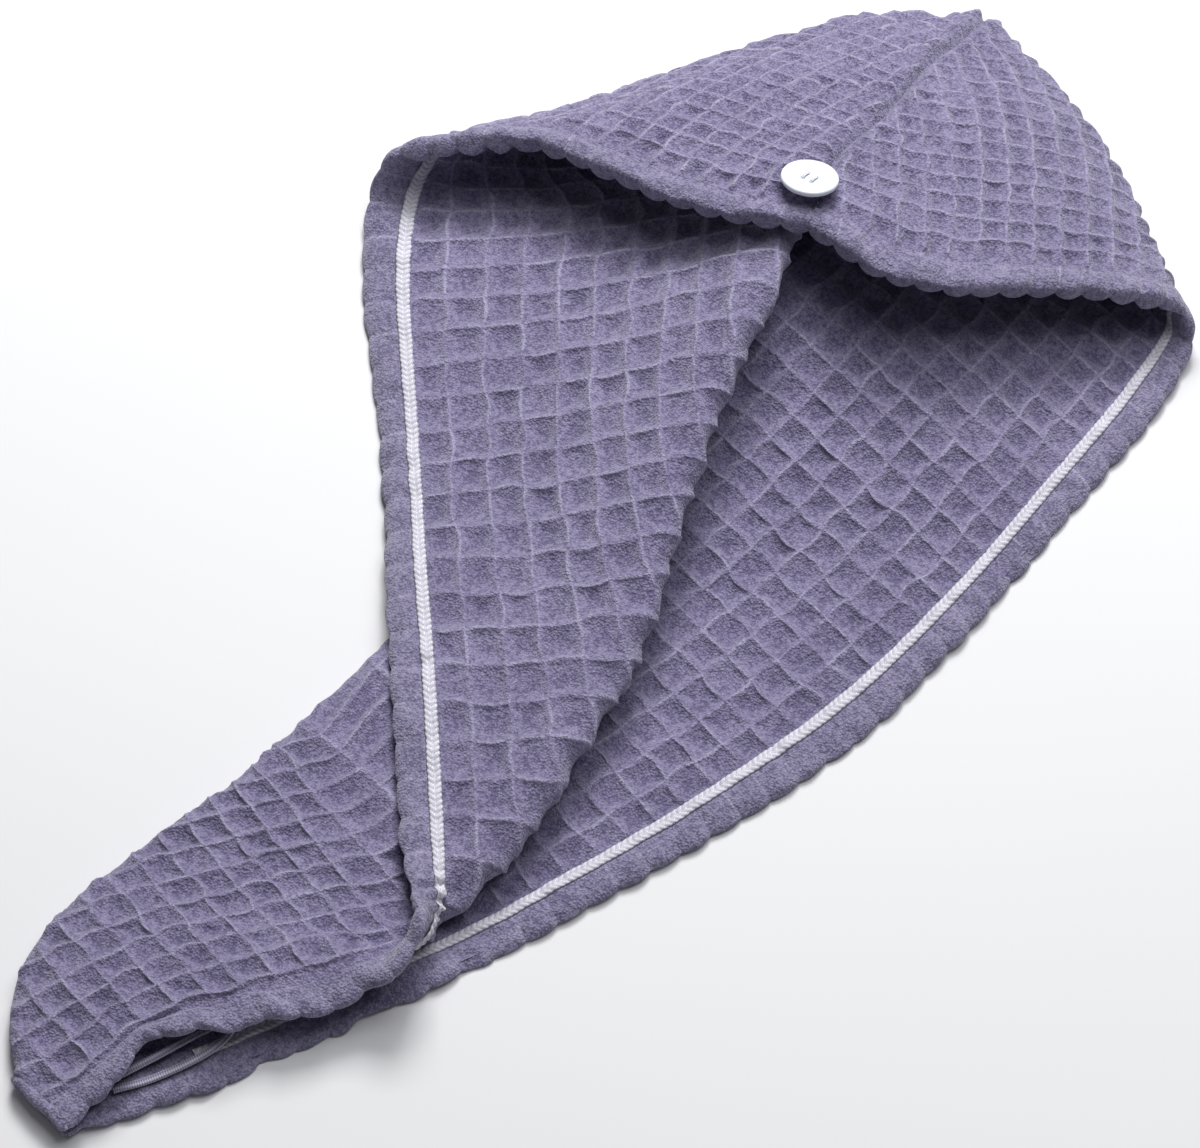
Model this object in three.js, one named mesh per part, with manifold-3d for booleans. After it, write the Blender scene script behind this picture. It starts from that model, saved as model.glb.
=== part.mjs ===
// Hair turban towel of waffle cloth, lying open side up, tail towards -Y and crown towards +Y.
// Two mirrored panels meet at one long seam. The free edge of each is a thick turned hem with a
// white tape along its inner side. The nape flap lies over the mouth with a button near its edge,
// the left panel is folded over itself along a crease, and the tail is a flattened tube with a slit.
// Units are millimetres, +Z is up, and the origin is the middle of the footprint on the surface.
import * as THREE from 'three';
import Module from 'manifold-3d';

const { Manifold, Mesh: SolidMesh } = await Module().then((kernel) => {
  kernel.setup();
  return kernel;
});

// Overall size as it lies: the section table holds shares of these three lengths.
const bodyLength = 620;
const bodyWidth = 330;
const napeHeight = 75;

// Cloth
const clothThickness = 3;
const creaseGap = 8;
const seamGap = 6;
const partGap = 0.4;

// Hem of the free edge, and the tape that covers where it is sewn down
const hemWidth = 17;
const hemThickness = 5.4;
const tapeWidth = 5;
const tapeThickness = 1;
const tapeOverHem = 5;

// Button on the nape
const buttonDiameter = 24.5;
const buttonThickness = 3;
const buttonRimWidth = 2.8;
const buttonDish = 0.7;
const buttonHoleSpacing = 4.4;
const buttonHoleDiameter = 2;
const buttonStandOff = 3.4;
const buttonTilt = 14;
const buttonTiltHeading = 120;
const buttonRow = 0.51;
const buttonColumn = 5.3;

// Thread that ties the button down
const threadDiameter = 1.2;
const shankDiameter = 3.4;

// Elastic loop in the slit of the tail, which hooks over the button
const loopBandWidth = 3.2;
const loopBandThickness = 1.3;
const loopSteps = 24;

// Mesh steps
const rowSteps = 3;
const twistRowSteps = 6;
const twistSections = ['above_crossing', 'turn_in', 'crossing', 'turn_out'];
const leftPanelColumns = 15;
const rightPanelColumns = 9;
const roundSegments = 32;
const holeSegments = 12;

// One row for each section, from the nape over the flap and the crown, down the body and along
// the tail. Each place is [across, along, height] as shares of bodyWidth, bodyLength and
// napeHeight. A section runs from the left rim through the left panel to the seam and on through
// the right panel to the right rim. leftMid is where the left panel creases. creaseFold and
// seamFold say how far the cloth is folded back on itself there, from 0 to 1.
const sections = [
  { name: 'nape', creaseFold: 0, seamFold: 0,
    leftRim: [-0.047, 0.263, 0.95], leftSide: [-0.047, 0.263, 0.95], leftMid: [-0.047, 0.263, 0.95],
    leftInner: [-0.047, 0.263, 0.95], seam: [-0.047, 0.263, 0.95], rightInner: [-0.046, 0.263, 0.95],
    rightMid: [-0.046, 0.263, 0.95], rightRim: [-0.046, 0.263, 0.95] },
  { name: 'flap_low', creaseFold: 0, seamFold: 0,
    leftRim: [-0.162, 0.237, 0.88], leftSide: [-0.155, 0.261, 0.89], leftMid: [-0.143, 0.286, 0.90],
    leftInner: [-0.118, 0.307, 0.90], seam: [-0.087, 0.326, 0.89], rightInner: [-0.048, 0.315, 0.89],
    rightMid: [-0.006, 0.302, 0.89], rightRim: [0.067, 0.267, 0.87] },
  { name: 'flap_mid', creaseFold: 0, seamFold: 0,
    leftRim: [-0.302, 0.227, 0.79], leftSide: [-0.263, 0.272, 0.80], leftMid: [-0.217, 0.314, 0.79],
    leftInner: [-0.158, 0.353, 0.76], seam: [-0.090, 0.388, 0.75], rightInner: [-0.029, 0.376, 0.76],
    rightMid: [0.044, 0.350, 0.77], rightRim: [0.154, 0.299, 0.76] },
  { name: 'flap_high', creaseFold: 0, seamFold: 0,
    leftRim: [-0.449, 0.220, 0.67], leftSide: [-0.373, 0.275, 0.67], leftMid: [-0.297, 0.337, 0.64],
    leftInner: [-0.208, 0.398, 0.61], seam: [-0.106, 0.449, 0.59], rightInner: [-0.015, 0.445, 0.59],
    rightMid: [0.087, 0.423, 0.60], rightRim: [0.238, 0.347, 0.61] },
  { name: 'flap_top', creaseFold: 0, seamFold: 0,
    leftRim: [-0.545, 0.193, 0.53], leftSide: [-0.437, 0.273, 0.45], leftMid: [-0.335, 0.377, 0.39],
    leftInner: [-0.240, 0.455, 0.36], seam: [-0.115, 0.510, 0.35], rightInner: [0.001, 0.501, 0.36],
    rightMid: [0.124, 0.474, 0.37], rightRim: [0.309, 0.386, 0.47] },
  { name: 'crown', creaseFold: 0, seamFold: 0,
    leftRim: [-0.603, 0.172, 0.37], leftSide: [-0.480, 0.279, 0.24], leftMid: [-0.348, 0.413, 0.17],
    leftInner: [-0.249, 0.496, 0.16], seam: [-0.126, 0.546, 0.17], rightInner: [0.010, 0.524, 0.17],
    rightMid: [0.146, 0.492, 0.17], rightRim: [0.360, 0.408, 0.29] },
  { name: 'under_crown', creaseFold: 0.3, seamFold: 0.3,
    leftRim: [-0.606, 0.151, 0.12], leftSide: [-0.449, 0.275, 0.08], leftMid: [-0.258, 0.414, 0.19],
    leftInner: [-0.209, 0.465, 0.15], seam: [-0.139, 0.488, 0.12], rightInner: [-0.037, 0.487, 0.05],
    rightMid: [0.127, 0.461, 0.03], rightRim: [0.389, 0.401, 0.09] },
  { name: 'under_flap', creaseFold: 0.8, seamFold: 0.8,
    leftRim: [-0.538, 0.100, 0.05], leftSide: [-0.357, 0.235, 0.23], leftMid: [-0.135, 0.335, 0.55],
    leftInner: [-0.131, 0.357, 0.39], seam: [-0.134, 0.380, 0.29], rightInner: [-0.058, 0.364, 0.23],
    rightMid: [0.137, 0.375, 0.16], rightRim: [0.404, 0.340, 0.04] },
  { name: 'below_button', creaseFold: 1, seamFold: 1,
    leftRim: [-0.419, 0.034, 0.04], leftSide: [-0.236, 0.152, 0.33], leftMid: [-0.054, 0.239, 0.75],
    leftInner: [-0.087, 0.242, 0.57], seam: [-0.123, 0.243, 0.43], rightInner: [-0.035, 0.249, 0.39],
    rightMid: [0.152, 0.265, 0.25], rightRim: [0.401, 0.256, 0.03] },
  { name: 'body_high', creaseFold: 1, seamFold: 1,
    leftRim: [-0.303, -0.031, 0.04], leftSide: [-0.158, 0.065, 0.29], leftMid: [-0.008, 0.139, 0.61],
    leftInner: [-0.076, 0.130, 0.39], seam: [-0.151, 0.115, 0.20], rightInner: [-0.027, 0.130, 0.17],
    rightMid: [0.173, 0.157, 0.12], rightRim: [0.399, 0.144, 0.03] },
  { name: 'body_mid', creaseFold: 1, seamFold: 1,
    leftRim: [-0.194, -0.096, 0.17], leftSide: [-0.078, -0.011, 0.29], leftMid: [0.043, 0.060, 0.51],
    leftInner: [-0.068, 0.036, 0.23], seam: [-0.170, 0.007, 0.09], rightInner: [-0.003, 0.046, 0.05],
    rightMid: [0.192, 0.053, 0.05], rightRim: [0.378, 0.028, 0.03] },
  { name: 'body_low', creaseFold: 1, seamFold: 1,
    leftRim: [-0.094, -0.154, 0.23], leftSide: [0.000, -0.086, 0.29], leftMid: [0.103, -0.025, 0.39],
    leftInner: [-0.034, -0.068, 0.14], seam: [-0.163, -0.110, 0.08], rightInner: [-0.015, -0.076, 0.02],
    rightMid: [0.189, -0.034, 0.03], rightRim: [0.331, -0.064, 0.03] },
  { name: 'waist', creaseFold: 1, seamFold: 1,
    leftRim: [-0.022, -0.198, 0.23], leftSide: [0.056, -0.154, 0.28], leftMid: [0.130, -0.112, 0.33],
    leftInner: [-0.017, -0.148, 0.13], seam: [-0.171, -0.190, 0.08], rightInner: [-0.001, -0.160, 0.02],
    rightMid: [0.174, -0.131, 0.02], rightRim: [0.285, -0.139, 0.03] },
  { name: 'above_crossing', creaseFold: 0.9, seamFold: 1,
    leftRim: [0.046, -0.238, 0.27], leftSide: [0.098, -0.217, 0.27], leftMid: [0.148, -0.195, 0.28],
    leftInner: [-0.017, -0.230, 0.14], seam: [-0.188, -0.264, 0.08], rightInner: [-0.011, -0.245, 0.02],
    rightMid: [0.152, -0.215, 0.02], rightRim: [0.245, -0.195, 0.03] },
  { name: 'turn_in', creaseFold: 0.85, seamFold: 1,
    leftRim: [0.091, -0.257, 0.35], leftSide: [0.113, -0.252, 0.28], leftMid: [0.133, -0.247, 0.21],
    leftInner: [-0.024, -0.260, 0.15], seam: [-0.202, -0.293, 0.08], rightInner: [-0.011, -0.275, 0.02],
    rightMid: [0.140, -0.243, 0.02], rightRim: [0.227, -0.221, 0.03] },
  { name: 'crossing', creaseFold: 0, seamFold: 1,
    leftRim: [0.128, -0.271, 0.41], leftSide: [0.128, -0.272, 0.28], leftMid: [0.129, -0.274, 0.16],
    leftInner: [-0.032, -0.290, 0.15], seam: [-0.213, -0.322, 0.08], rightInner: [-0.013, -0.304, 0.02],
    rightMid: [0.124, -0.272, 0.02], rightRim: [0.207, -0.247, 0.03] },
  { name: 'turn_out', creaseFold: 0, seamFold: 1,
    leftRim: [0.139, -0.298, 0.34], leftSide: [0.118, -0.297, 0.26], leftMid: [0.097, -0.298, 0.20],
    leftInner: [-0.061, -0.321, 0.16], seam: [-0.224, -0.352, 0.08], rightInner: [-0.057, -0.335, 0.02],
    rightMid: [0.077, -0.307, 0.02], rightRim: [0.178, -0.278, 0.03] },
  { name: 'tail_start', creaseFold: 0, seamFold: 1,
    leftRim: [0.105, -0.327, 0.25], leftSide: [0.083, -0.321, 0.26], leftMid: [0.058, -0.314, 0.25],
    leftInner: [-0.089, -0.351, 0.19], seam: [-0.234, -0.381, 0.08], rightInner: [-0.101, -0.366, 0.02],
    rightMid: [0.032, -0.342, 0.02], rightRim: [0.150, -0.308, 0.03] },
  { name: 'tail_mid', creaseFold: 0, seamFold: 1,
    leftRim: [0.036, -0.378, 0.24], leftSide: [0.014, -0.372, 0.25], leftMid: [-0.012, -0.364, 0.25],
    leftInner: [-0.120, -0.399, 0.19], seam: [-0.227, -0.435, 0.08], rightInner: [-0.133, -0.423, 0.02],
    rightMid: [-0.020, -0.406, 0.02], rightRim: [0.097, -0.369, 0.03] },
  { name: 'tail_low', creaseFold: 0, seamFold: 1,
    leftRim: [-0.028, -0.426, 0.20], leftSide: [-0.052, -0.420, 0.21], leftMid: [-0.078, -0.413, 0.21],
    leftInner: [-0.136, -0.442, 0.16], seam: [-0.185, -0.473, 0.08], rightInner: [-0.133, -0.465, 0.02],
    rightMid: [-0.059, -0.456, 0.02], rightRim: [0.043, -0.426, 0.03] },
  { name: 'tail_end', creaseFold: 0, seamFold: 1,
    leftRim: [-0.046, -0.505, 0.13], leftSide: [-0.062, -0.503, 0.12], leftMid: [-0.077, -0.502, 0.12],
    leftInner: [-0.108, -0.500, 0.11], seam: [-0.138, -0.496, 0.07], rightInner: [-0.118, -0.498, 0.02],
    rightMid: [-0.087, -0.500, 0.02], rightRim: [-0.048, -0.503, 0.04] },
];

// Course of the elastic loop, in the same shares
const loopCourse = [
  { name: 'sewn_end', at: [-0.040, -0.465, 0.091] },
  { name: 'lower_strand', at: [-0.013, -0.445, 0.093] },
  { name: 'lower_bend', at: [0.021, -0.405, 0.11] },
  { name: 'far_bend', at: [0.020, -0.388, 0.12] },
  { name: 'upper_bend', at: [0.006, -0.394, 0.12] },
  { name: 'upper_strand', at: [-0.028, -0.435, 0.11] },
  { name: 'upper_end', at: [-0.051, -0.462, 0.091] },
];

const vec = (x, y, z) => new THREE.Vector3(x, y, z);
const mix = (a, b, share) => a.clone().lerp(b, share);
const place = ([across, along, height]) => vec(across * bodyWidth, along * bodyLength, height * napeHeight);
const smoothCurve = (points) => new THREE.CatmullRomCurve3(points, false, 'centripetal');

// Three points of a fold whose two layers lie one above the other, with its tip pointing outwards
function foldPoints(tip, from, gap, topDrop) {
  const outward = tip.clone().sub(from).setZ(0).normalize();
  const back = tip.clone().addScaledVector(outward, -gap / 2);
  const heights = [topDrop, topDrop - gap / 2, topDrop - gap];
  return [back.clone().add(vec(0, 0, heights[0])), tip.clone().add(vec(0, 0, heights[1])), back.clone().add(vec(0, 0, heights[2]))];
}

// Guide points of one section, from rim to rim
const seamColumn = 7;
const lastColumn = 11;
function guidePoints(row) {
  const leftRim = place(row.leftRim);
  const leftSide = place(row.leftSide);
  const leftMid = place(row.leftMid);
  const leftInner = place(row.leftInner);
  const seam = place(row.seam);
  const rightInner = place(row.rightInner);
  const rightMid = place(row.rightMid);
  const rightRim = place(row.rightRim);
  const openCrease = [mix(leftMid, leftSide, 0.3), leftMid, mix(leftMid, leftInner, 0.3)];
  const openSeam = [mix(seam, leftInner, 0.25), seam, mix(seam, rightInner, 0.25)];
  const foldedCrease = foldPoints(leftMid, leftInner, creaseGap, 0);
  const foldedSeam = foldPoints(seam, leftInner, seamGap, seamGap / 2);
  const crease = openCrease.map((p, i) => mix(p, foldedCrease[i], row.creaseFold));
  const seamFold = openSeam.map((p, i) => mix(p, foldedSeam[i], row.seamFold));
  return [leftRim, leftSide, ...crease, leftInner, ...seamFold, rightInner, rightMid, rightRim];
}

// The middle surface of the cloth: row s runs along the towel and column t across it.
const guideRows = sections.map(guidePoints);
const lastRow = guideRows.length - 1;
const columnCurves = guideRows[0].map((_, c) => smoothCurve(guideRows.map((row) => row[c])));
const sectionCurves = new Map();
function sectionCurve(s) {
  if (!sectionCurves.has(s)) {
    sectionCurves.set(s, smoothCurve(columnCurves.map((curve) => curve.getPoint(s / lastRow))));
  }
  return sectionCurves.get(s);
}
const clothPoint = (s, t) => sectionCurve(s).getPoint(t / lastColumn);

function clothNormal(s, t) {
  const ds = 0.05;
  const dt = 0.02;
  const along = clothPoint(Math.min(s + ds, lastRow), t).sub(clothPoint(Math.max(s - ds, 0), t));
  const across = clothPoint(s, Math.min(t + dt, lastColumn)).sub(clothPoint(s, Math.max(t - dt, 0)));
  return across.cross(along).normalize();
}

// Sides: the left half of the cloth runs from column 0 to the seam, the right half from the last.
const leftHalf = { rimColumn: 0, step: 1, spans: seamColumn, panelColumns: leftPanelColumns };
const rightHalf = { rimColumn: lastColumn, step: -1, spans: lastColumn - seamColumn, panelColumns: rightPanelColumns };
const rimPoint = (half, s) => clothPoint(s, half.rimColumn);

const rimDirection = (half, s) =>
  rimPoint(half, Math.min(s + 0.1, lastRow)).sub(rimPoint(half, Math.max(s - 0.1, 0))).normalize();

// How many columns in the cloth is as far from the line of the rim as given, or null if it never is
function columnsIn(half, s, distance) {
  const rim = rimPoint(half, s);
  const direction = rimDirection(half, s);
  const away = (k) => clothPoint(s, half.rimColumn + half.step * k).sub(rim).cross(direction).length();
  const stride = 0.05;
  for (let k = stride; k < half.spans; k += stride) {
    if (away(k) >= distance) {
      return k - (stride * (away(k) - distance)) / (away(k) - away(k - stride));
    }
  }
  return null;
}

// The first row that reaches further in than the hem: the hem turns the nape corner before it.
function firstPanelRow(half, distance) {
  let s = 0;
  while (columnsIn(half, s, distance) === null) s += 0.01;
  return s;
}

// Rows crowd together at the nape so that those of the hem fan out from its corner.
const fanEnd = 2;
const panelRow = (s, first) => (s < fanEnd ? first + (s * (fanEnd - first)) / fanEnd : s);
const rowPlaces = sections.slice(0, lastRow).flatMap(({ name }, i) => {
  const steps = twistSections.includes(name) ? twistRowSteps : rowSteps;
  return Array.from({ length: steps }, (_, k) => i + k / steps);
});
rowPlaces.push(lastRow);

function closedMesh(points, faces) {
  const geometry = new THREE.BufferGeometry();
  const values = points.flatMap((p) => [p.x, p.y, Math.max(p.z, 0)]);
  geometry.setAttribute('position', new THREE.Float32BufferAttribute(values, 3));
  geometry.setIndex(faces.flat());
  geometry.computeVertexNormals();
  return geometry;
}

// A wall of cloth around a grid of points, each with the outward direction there
function wall(grid) {
  const rows = grid.length;
  const columns = grid[0].length;
  const shifted = (share) => grid.flat().map(({ point, normal }) => point.clone().addScaledVector(normal, share * clothThickness));
  const outer = (i, j) => i * columns + j;
  const inner = (i, j) => (rows + i) * columns + j;
  const faces = [];
  const quad = (a, b, c, d) => faces.push([a, b, c], [a, c, d]);
  for (let i = 0; i + 1 < rows; i += 1) {
    for (let j = 0; j + 1 < columns; j += 1) {
      quad(outer(i, j), outer(i, j + 1), outer(i + 1, j + 1), outer(i + 1, j));
      quad(inner(i, j), inner(i + 1, j), inner(i + 1, j + 1), inner(i, j + 1));
    }
    quad(outer(i, 0), outer(i + 1, 0), inner(i + 1, 0), inner(i, 0));
    quad(outer(i, columns - 1), inner(i, columns - 1), inner(i + 1, columns - 1), outer(i + 1, columns - 1));
  }
  for (let j = 0; j + 1 < columns; j += 1) {
    quad(outer(0, j + 1), outer(0, j), inner(0, j), inner(0, j + 1));
    quad(outer(rows - 1, j), outer(rows - 1, j + 1), inner(rows - 1, j + 1), inner(rows - 1, j));
  }
  return closedMesh([...shifted(0.5), ...shifted(-0.5)], faces);
}

// A bar whose closed section changes from ring to ring, its points running clockwise or not
function bar(rings, clockwise = false) {
  const turned = clockwise ? ([a, b, c]) => [a, c, b] : (face) => face;
  const sides = rings[0].length;
  const faces = [];
  for (let i = 0; i + 1 < rings.length; i += 1) {
    for (let j = 0; j < sides; j += 1) {
      const next = (j + 1) % sides;
      const [a, b, c, d] = [i * sides + j, i * sides + next, (i + 1) * sides + next, (i + 1) * sides + j];
      faces.push([a, b, c], [a, c, d]);
    }
  }
  const last = (rings.length - 1) * sides;
  for (let j = 1; j + 1 < sides; j += 1) {
    faces.push([0, j + 1, j], [last, last + j, last + j + 1]);
  }
  return closedMesh(rings.flat(), faces.map(turned));
}

// The hem at row s: its rim, the way across it to its inner edge, outwards, and where the panel starts
const napeRow = Math.max(firstPanelRow(leftHalf, hemWidth), firstPanelRow(rightHalf, hemWidth)) + 0.03;
function hemFrame(half, s) {
  const inner = panelRow(s, napeRow);
  const startColumn = columnsIn(half, inner, hemWidth);
  const rim = rimPoint(half, s);
  const across = clothPoint(inner, half.rimColumn + half.step * startColumn).sub(rim);
  const outward = across.clone().cross(rimDirection(half, s)).multiplyScalar(half.step).normalize();
  return { rim, across, outward, inner, startColumn };
}

// Panels, from the inner edge of the hem to the seam
function panelGrid(half) {
  const columns = half.panelColumns;
  const grid = [];
  for (const s of rowPlaces) {
    const { rim, across, outward, inner, startColumn } = hemFrame(half, s);
    const row = [{ point: rim.clone().addScaledVector(across, 1 + partGap / across.length()), normal: outward }];
    for (let j = 1; j <= columns; j += 1) {
      const t = half.rimColumn + half.step * (startColumn + ((half.spans - startColumn) * j) / columns);
      row.push({ point: clothPoint(inner, t), normal: clothNormal(inner, t) });
    }
    const [seamEnd, beforeSeam] = [row[columns].point, row[columns - 1].point];
    seamEnd.addScaledVector(beforeSeam.clone().sub(seamEnd).normalize(), partGap / 2);
    grid.push(half.step > 0 ? row : row.reverse());
  }
  return grid;
}

// Sections of the hem and of the tape: shares of the hem's width from the rim, and heights
const hemHalf = hemThickness / 2;
const hemSection = [
  [0, 0], [0.1, 0.85 * hemHalf], [0.6, hemHalf], [1, 0.7 * hemHalf],
  [1, -0.7 * hemHalf], [0.6, -hemHalf], [0.1, -0.85 * hemHalf],
];
const tapeFrom = 1 - tapeOverHem / hemWidth;
const tapeTo = tapeFrom + tapeWidth / hemWidth;
const tapeTop = -hemHalf - partGap;
const tapeSection = [
  [tapeFrom, tapeTop], [tapeTo, tapeTop], [tapeTo, tapeTop - tapeThickness], [tapeFrom, tapeTop - tapeThickness],
];
function edgeBar(half, section, endRow) {
  const rings = [];
  for (const s of rowPlaces.filter((place) => place <= endRow)) {
    const { rim, across, outward } = hemFrame(half, s);
    rings.push(section.map(([share, height]) =>
      rim.clone().addScaledVector(across, share).addScaledVector(outward, height)));
  }
  return bar(rings, half.step < 0);
}

// Solids joined and cut as whole bodies
const solidFrom = (geometry) => {
  const plain = geometry.clone();
  plain.deleteAttribute('uv');
  plain.deleteAttribute('normal');
  const { array } = plain.attributes.position;
  const index = plain.index ? plain.index.array : Uint32Array.from({ length: array.length / 3 }, (_, i) => i);
  const mesh = new SolidMesh({ numProp: 3, vertProperties: Float32Array.from(array), triVerts: Uint32Array.from(index) });
  mesh.merge();
  return Manifold.ofMesh(mesh);
};
const geometryFrom = (solid) => {
  const mesh = solid.getMesh();
  const geometry = new THREE.BufferGeometry();
  geometry.setAttribute('position', new THREE.Float32BufferAttribute(mesh.vertProperties, 3));
  geometry.setIndex(Array.from(mesh.triVerts));
  geometry.computeVertexNormals();
  return geometry;
};

// Button, lying along its own z axis with its underside at z = 0
const holeAngles = [45, 135, 225, 315].map((degrees) => (degrees * Math.PI) / 180);
const holePlaces = holeAngles.map((angle) => [
  Math.cos(angle) * buttonHoleSpacing * Math.SQRT1_2,
  Math.sin(angle) * buttonHoleSpacing * Math.SQRT1_2,
]);
function buttonGeometry() {
  const radius = buttonDiameter / 2;
  const edge = 0.6;
  const profile = [
    [0, 0], [radius - 2 * edge, 0], [radius, 1.6 * edge], [radius, buttonThickness - edge], [radius - edge, buttonThickness],
    [radius - buttonRimWidth, buttonThickness], [radius - buttonRimWidth - 1, buttonThickness - buttonDish],
    [0, buttonThickness - buttonDish],
  ].map(([r, z]) => new THREE.Vector2(r, z));
  const disc = new THREE.LatheGeometry(profile, roundSegments).rotateX(Math.PI / 2);
  const holes = holePlaces.map(([x, y]) =>
    Manifold.cylinder(4 * buttonThickness, buttonHoleDiameter / 2, buttonHoleDiameter / 2, holeSegments, true).translate([x, y, 0]));
  return holes.reduce((solid, hole) => solid.subtract(hole), solidFrom(disc));
}

// Thread: two stitches over the button, four legs through it, and the shank below it
function threadGeometry() {
  const radius = threadDiameter / 2;
  const floor = buttonThickness - buttonDish;
  const top = floor + partGap + radius;
  const legLength = top + partGap + radius;
  const legs = holePlaces.map(([x, y]) => Manifold.cylinder(legLength, radius, radius, 10).translate([x, y, -partGap - radius]));
  const bars = [1, -1].map((side) =>
    Manifold.cylinder(buttonHoleSpacing, radius, radius, 10, true).rotate([90, 0, 0]).translate([(side * buttonHoleSpacing) / 2, 0, top]));
  const tiltDrop = shankDiameter * Math.sin((buttonTilt * Math.PI) / 180);
  const shankLength = buttonStandOff - 2 * partGap - tiltDrop;
  const shank = Manifold.cylinder(shankLength, shankDiameter, shankDiameter, 24).translate([0, 0, -partGap - shankLength]);
  return [...legs, ...bars].reduce((solid, piece) => solid.add(piece), shank);
}

function onTheNape(solid) {
  const normal = clothNormal(buttonRow, buttonColumn);
  const base = clothPoint(buttonRow, buttonColumn).addScaledVector(normal, clothThickness / 2 + buttonStandOff);
  const turn = new THREE.Quaternion().setFromUnitVectors(vec(0, 0, 1), normal);
  const heading = (buttonTiltHeading * Math.PI) / 180;
  const hinge = vec(-Math.sin(heading), Math.cos(heading), 0);
  turn.premultiply(new THREE.Quaternion().setFromAxisAngle(hinge, (buttonTilt * Math.PI) / 180));
  return geometryFrom(solid).applyQuaternion(turn).translate(base.x, base.y, base.z);
}

// Elastic loop: a flat band along its course
function loopGeometry() {
  const course = smoothCurve(loopCourse.map((entry) => place(entry.at)));
  const rings = [];
  for (let i = 0; i <= loopSteps; i += 1) {
    const along = course.getTangent(i / loopSteps);
    const side = along.clone().cross(vec(0, 0, 1)).normalize().multiplyScalar(loopBandWidth / 2);
    const rise = vec(0, 0, loopBandThickness / 2);
    const centre = course.getPoint(i / loopSteps);
    rings.push([[-1, -1], [-1, 1], [1, 1], [1, -1]].map(([a, b]) =>
      centre.clone().addScaledVector(side, a).addScaledVector(rise, b)));
  }
  return bar(rings);
}

const material = (color, roughness) => new THREE.MeshStandardMaterial({ color, roughness, metalness: 0 });
const waffleCloth = material(0x7d7797, 0.95);
const hemCloth = material(0x8a85a0, 0.95);
const whiteTape = material(0xe4e3ec, 0.8);
const whitePlastic = material(0xf3f4fb, 0.35);
const whiteThread = material(0xe8e8f0, 0.8);
const elasticBand = material(0xcfcbe0, 0.8);

const turban = new THREE.Group();
const pieces = [
  ['left_panel', wall(panelGrid(leftHalf)), waffleCloth],
  ['right_panel', wall(panelGrid(rightHalf)), waffleCloth],
  ['left_hem', edgeBar(leftHalf, hemSection, lastRow), hemCloth],
  ['right_hem', edgeBar(rightHalf, hemSection, lastRow), hemCloth],
  ['left_tape', edgeBar(leftHalf, tapeSection, lastRow - 1), whiteTape],
  ['right_tape', edgeBar(rightHalf, tapeSection, lastRow - 1), whiteTape],
  ['button', onTheNape(buttonGeometry()), whitePlastic],
  ['button_thread', onTheNape(threadGeometry()), whiteThread],
  ['tail_loop', loopGeometry(), elasticBand],
];
for (const [name, geometry, pieceMaterial] of pieces) {
  const mesh = new THREE.Mesh(geometry, pieceMaterial);
  mesh.name = name;
  turban.add(mesh);
}
const footprint = new THREE.Box3().setFromObject(turban);
const centre = footprint.getCenter(new THREE.Vector3());
turban.children.forEach((mesh) => mesh.geometry.translate(-centre.x, -centre.y, -footprint.min.z));

export default turban;
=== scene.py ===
"""Looks of a hair turban towel of lavender waffle cloth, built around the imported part.

The cloth code works in millimetres in the part's own frame before it is centred; meshes are made in
metres in the shared frame.
"""

import math

import bpy
import numpy as np
from mathutils import Matrix, Vector


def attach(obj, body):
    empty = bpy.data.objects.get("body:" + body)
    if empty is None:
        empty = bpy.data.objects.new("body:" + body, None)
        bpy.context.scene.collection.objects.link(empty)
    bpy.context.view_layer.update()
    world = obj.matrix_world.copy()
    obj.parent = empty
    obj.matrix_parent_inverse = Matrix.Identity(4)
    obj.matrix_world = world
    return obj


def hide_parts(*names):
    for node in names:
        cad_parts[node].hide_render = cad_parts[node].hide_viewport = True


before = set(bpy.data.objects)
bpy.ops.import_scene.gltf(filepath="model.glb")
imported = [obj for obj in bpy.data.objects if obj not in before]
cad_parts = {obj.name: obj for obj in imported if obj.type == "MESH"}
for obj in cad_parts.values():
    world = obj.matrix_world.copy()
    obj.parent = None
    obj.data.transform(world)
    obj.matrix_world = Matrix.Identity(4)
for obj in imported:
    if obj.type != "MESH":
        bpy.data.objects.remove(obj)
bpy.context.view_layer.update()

# Overall size, which the section table is given in shares of
BODY_LENGTH = 620
BODY_WIDTH = 330
NAPE_HEIGHT = 75
FOOTPRINT_CENTRE = (-34.35, 13.42)

# Cloth and hem
CLOTH_THICKNESS = 3.0
CREASE_GAP = 8.0
SEAM_GAP = 6.0
HEM_WIDTH = 17.0

# Waffle cells: ridges with a crest, and pits whose walls fall between two distances from the ridges
CELL = 15.0
CREST_HEIGHT = 0.9
CREST_WIDTH = 0.8
PIT_DEPTH = 2.1
PIT_WALL = (0.5, 5.2)
RIDGE_BOW = 1.6
RIDGE_LEAN = 1.1
PANEL_START = 4.5
# Mesh lines across a cell, close together at its ridges
CELL_STEPS = (0.0, 0.7, 1.5, 3.0, 5.2, 7.5, 9.8, 12.0, 13.5, 14.3)

# Size of a waffle cell in mm along the rim and in from it, at rows of the section table
CELL_SIZES = {
    "left": [dict(row=0, along=13.0, inward=10.5), dict(row=4.4, along=13.0, inward=11.0),
             dict(row=6, along=17.2, inward=15.0), dict(row=13, along=17.2, inward=15.0),
             dict(row=15.5, along=13.2, inward=12.0), dict(row=20, along=12.6, inward=11.8)],
    "right": [dict(row=0, along=12.8, inward=9.8), dict(row=4.4, along=12.8, inward=10.4),
              dict(row=6.5, along=14.4, inward=14.4), dict(row=20, along=14.4, inward=14.4)],
}
TAIL_SKEW = 0.22

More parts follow.
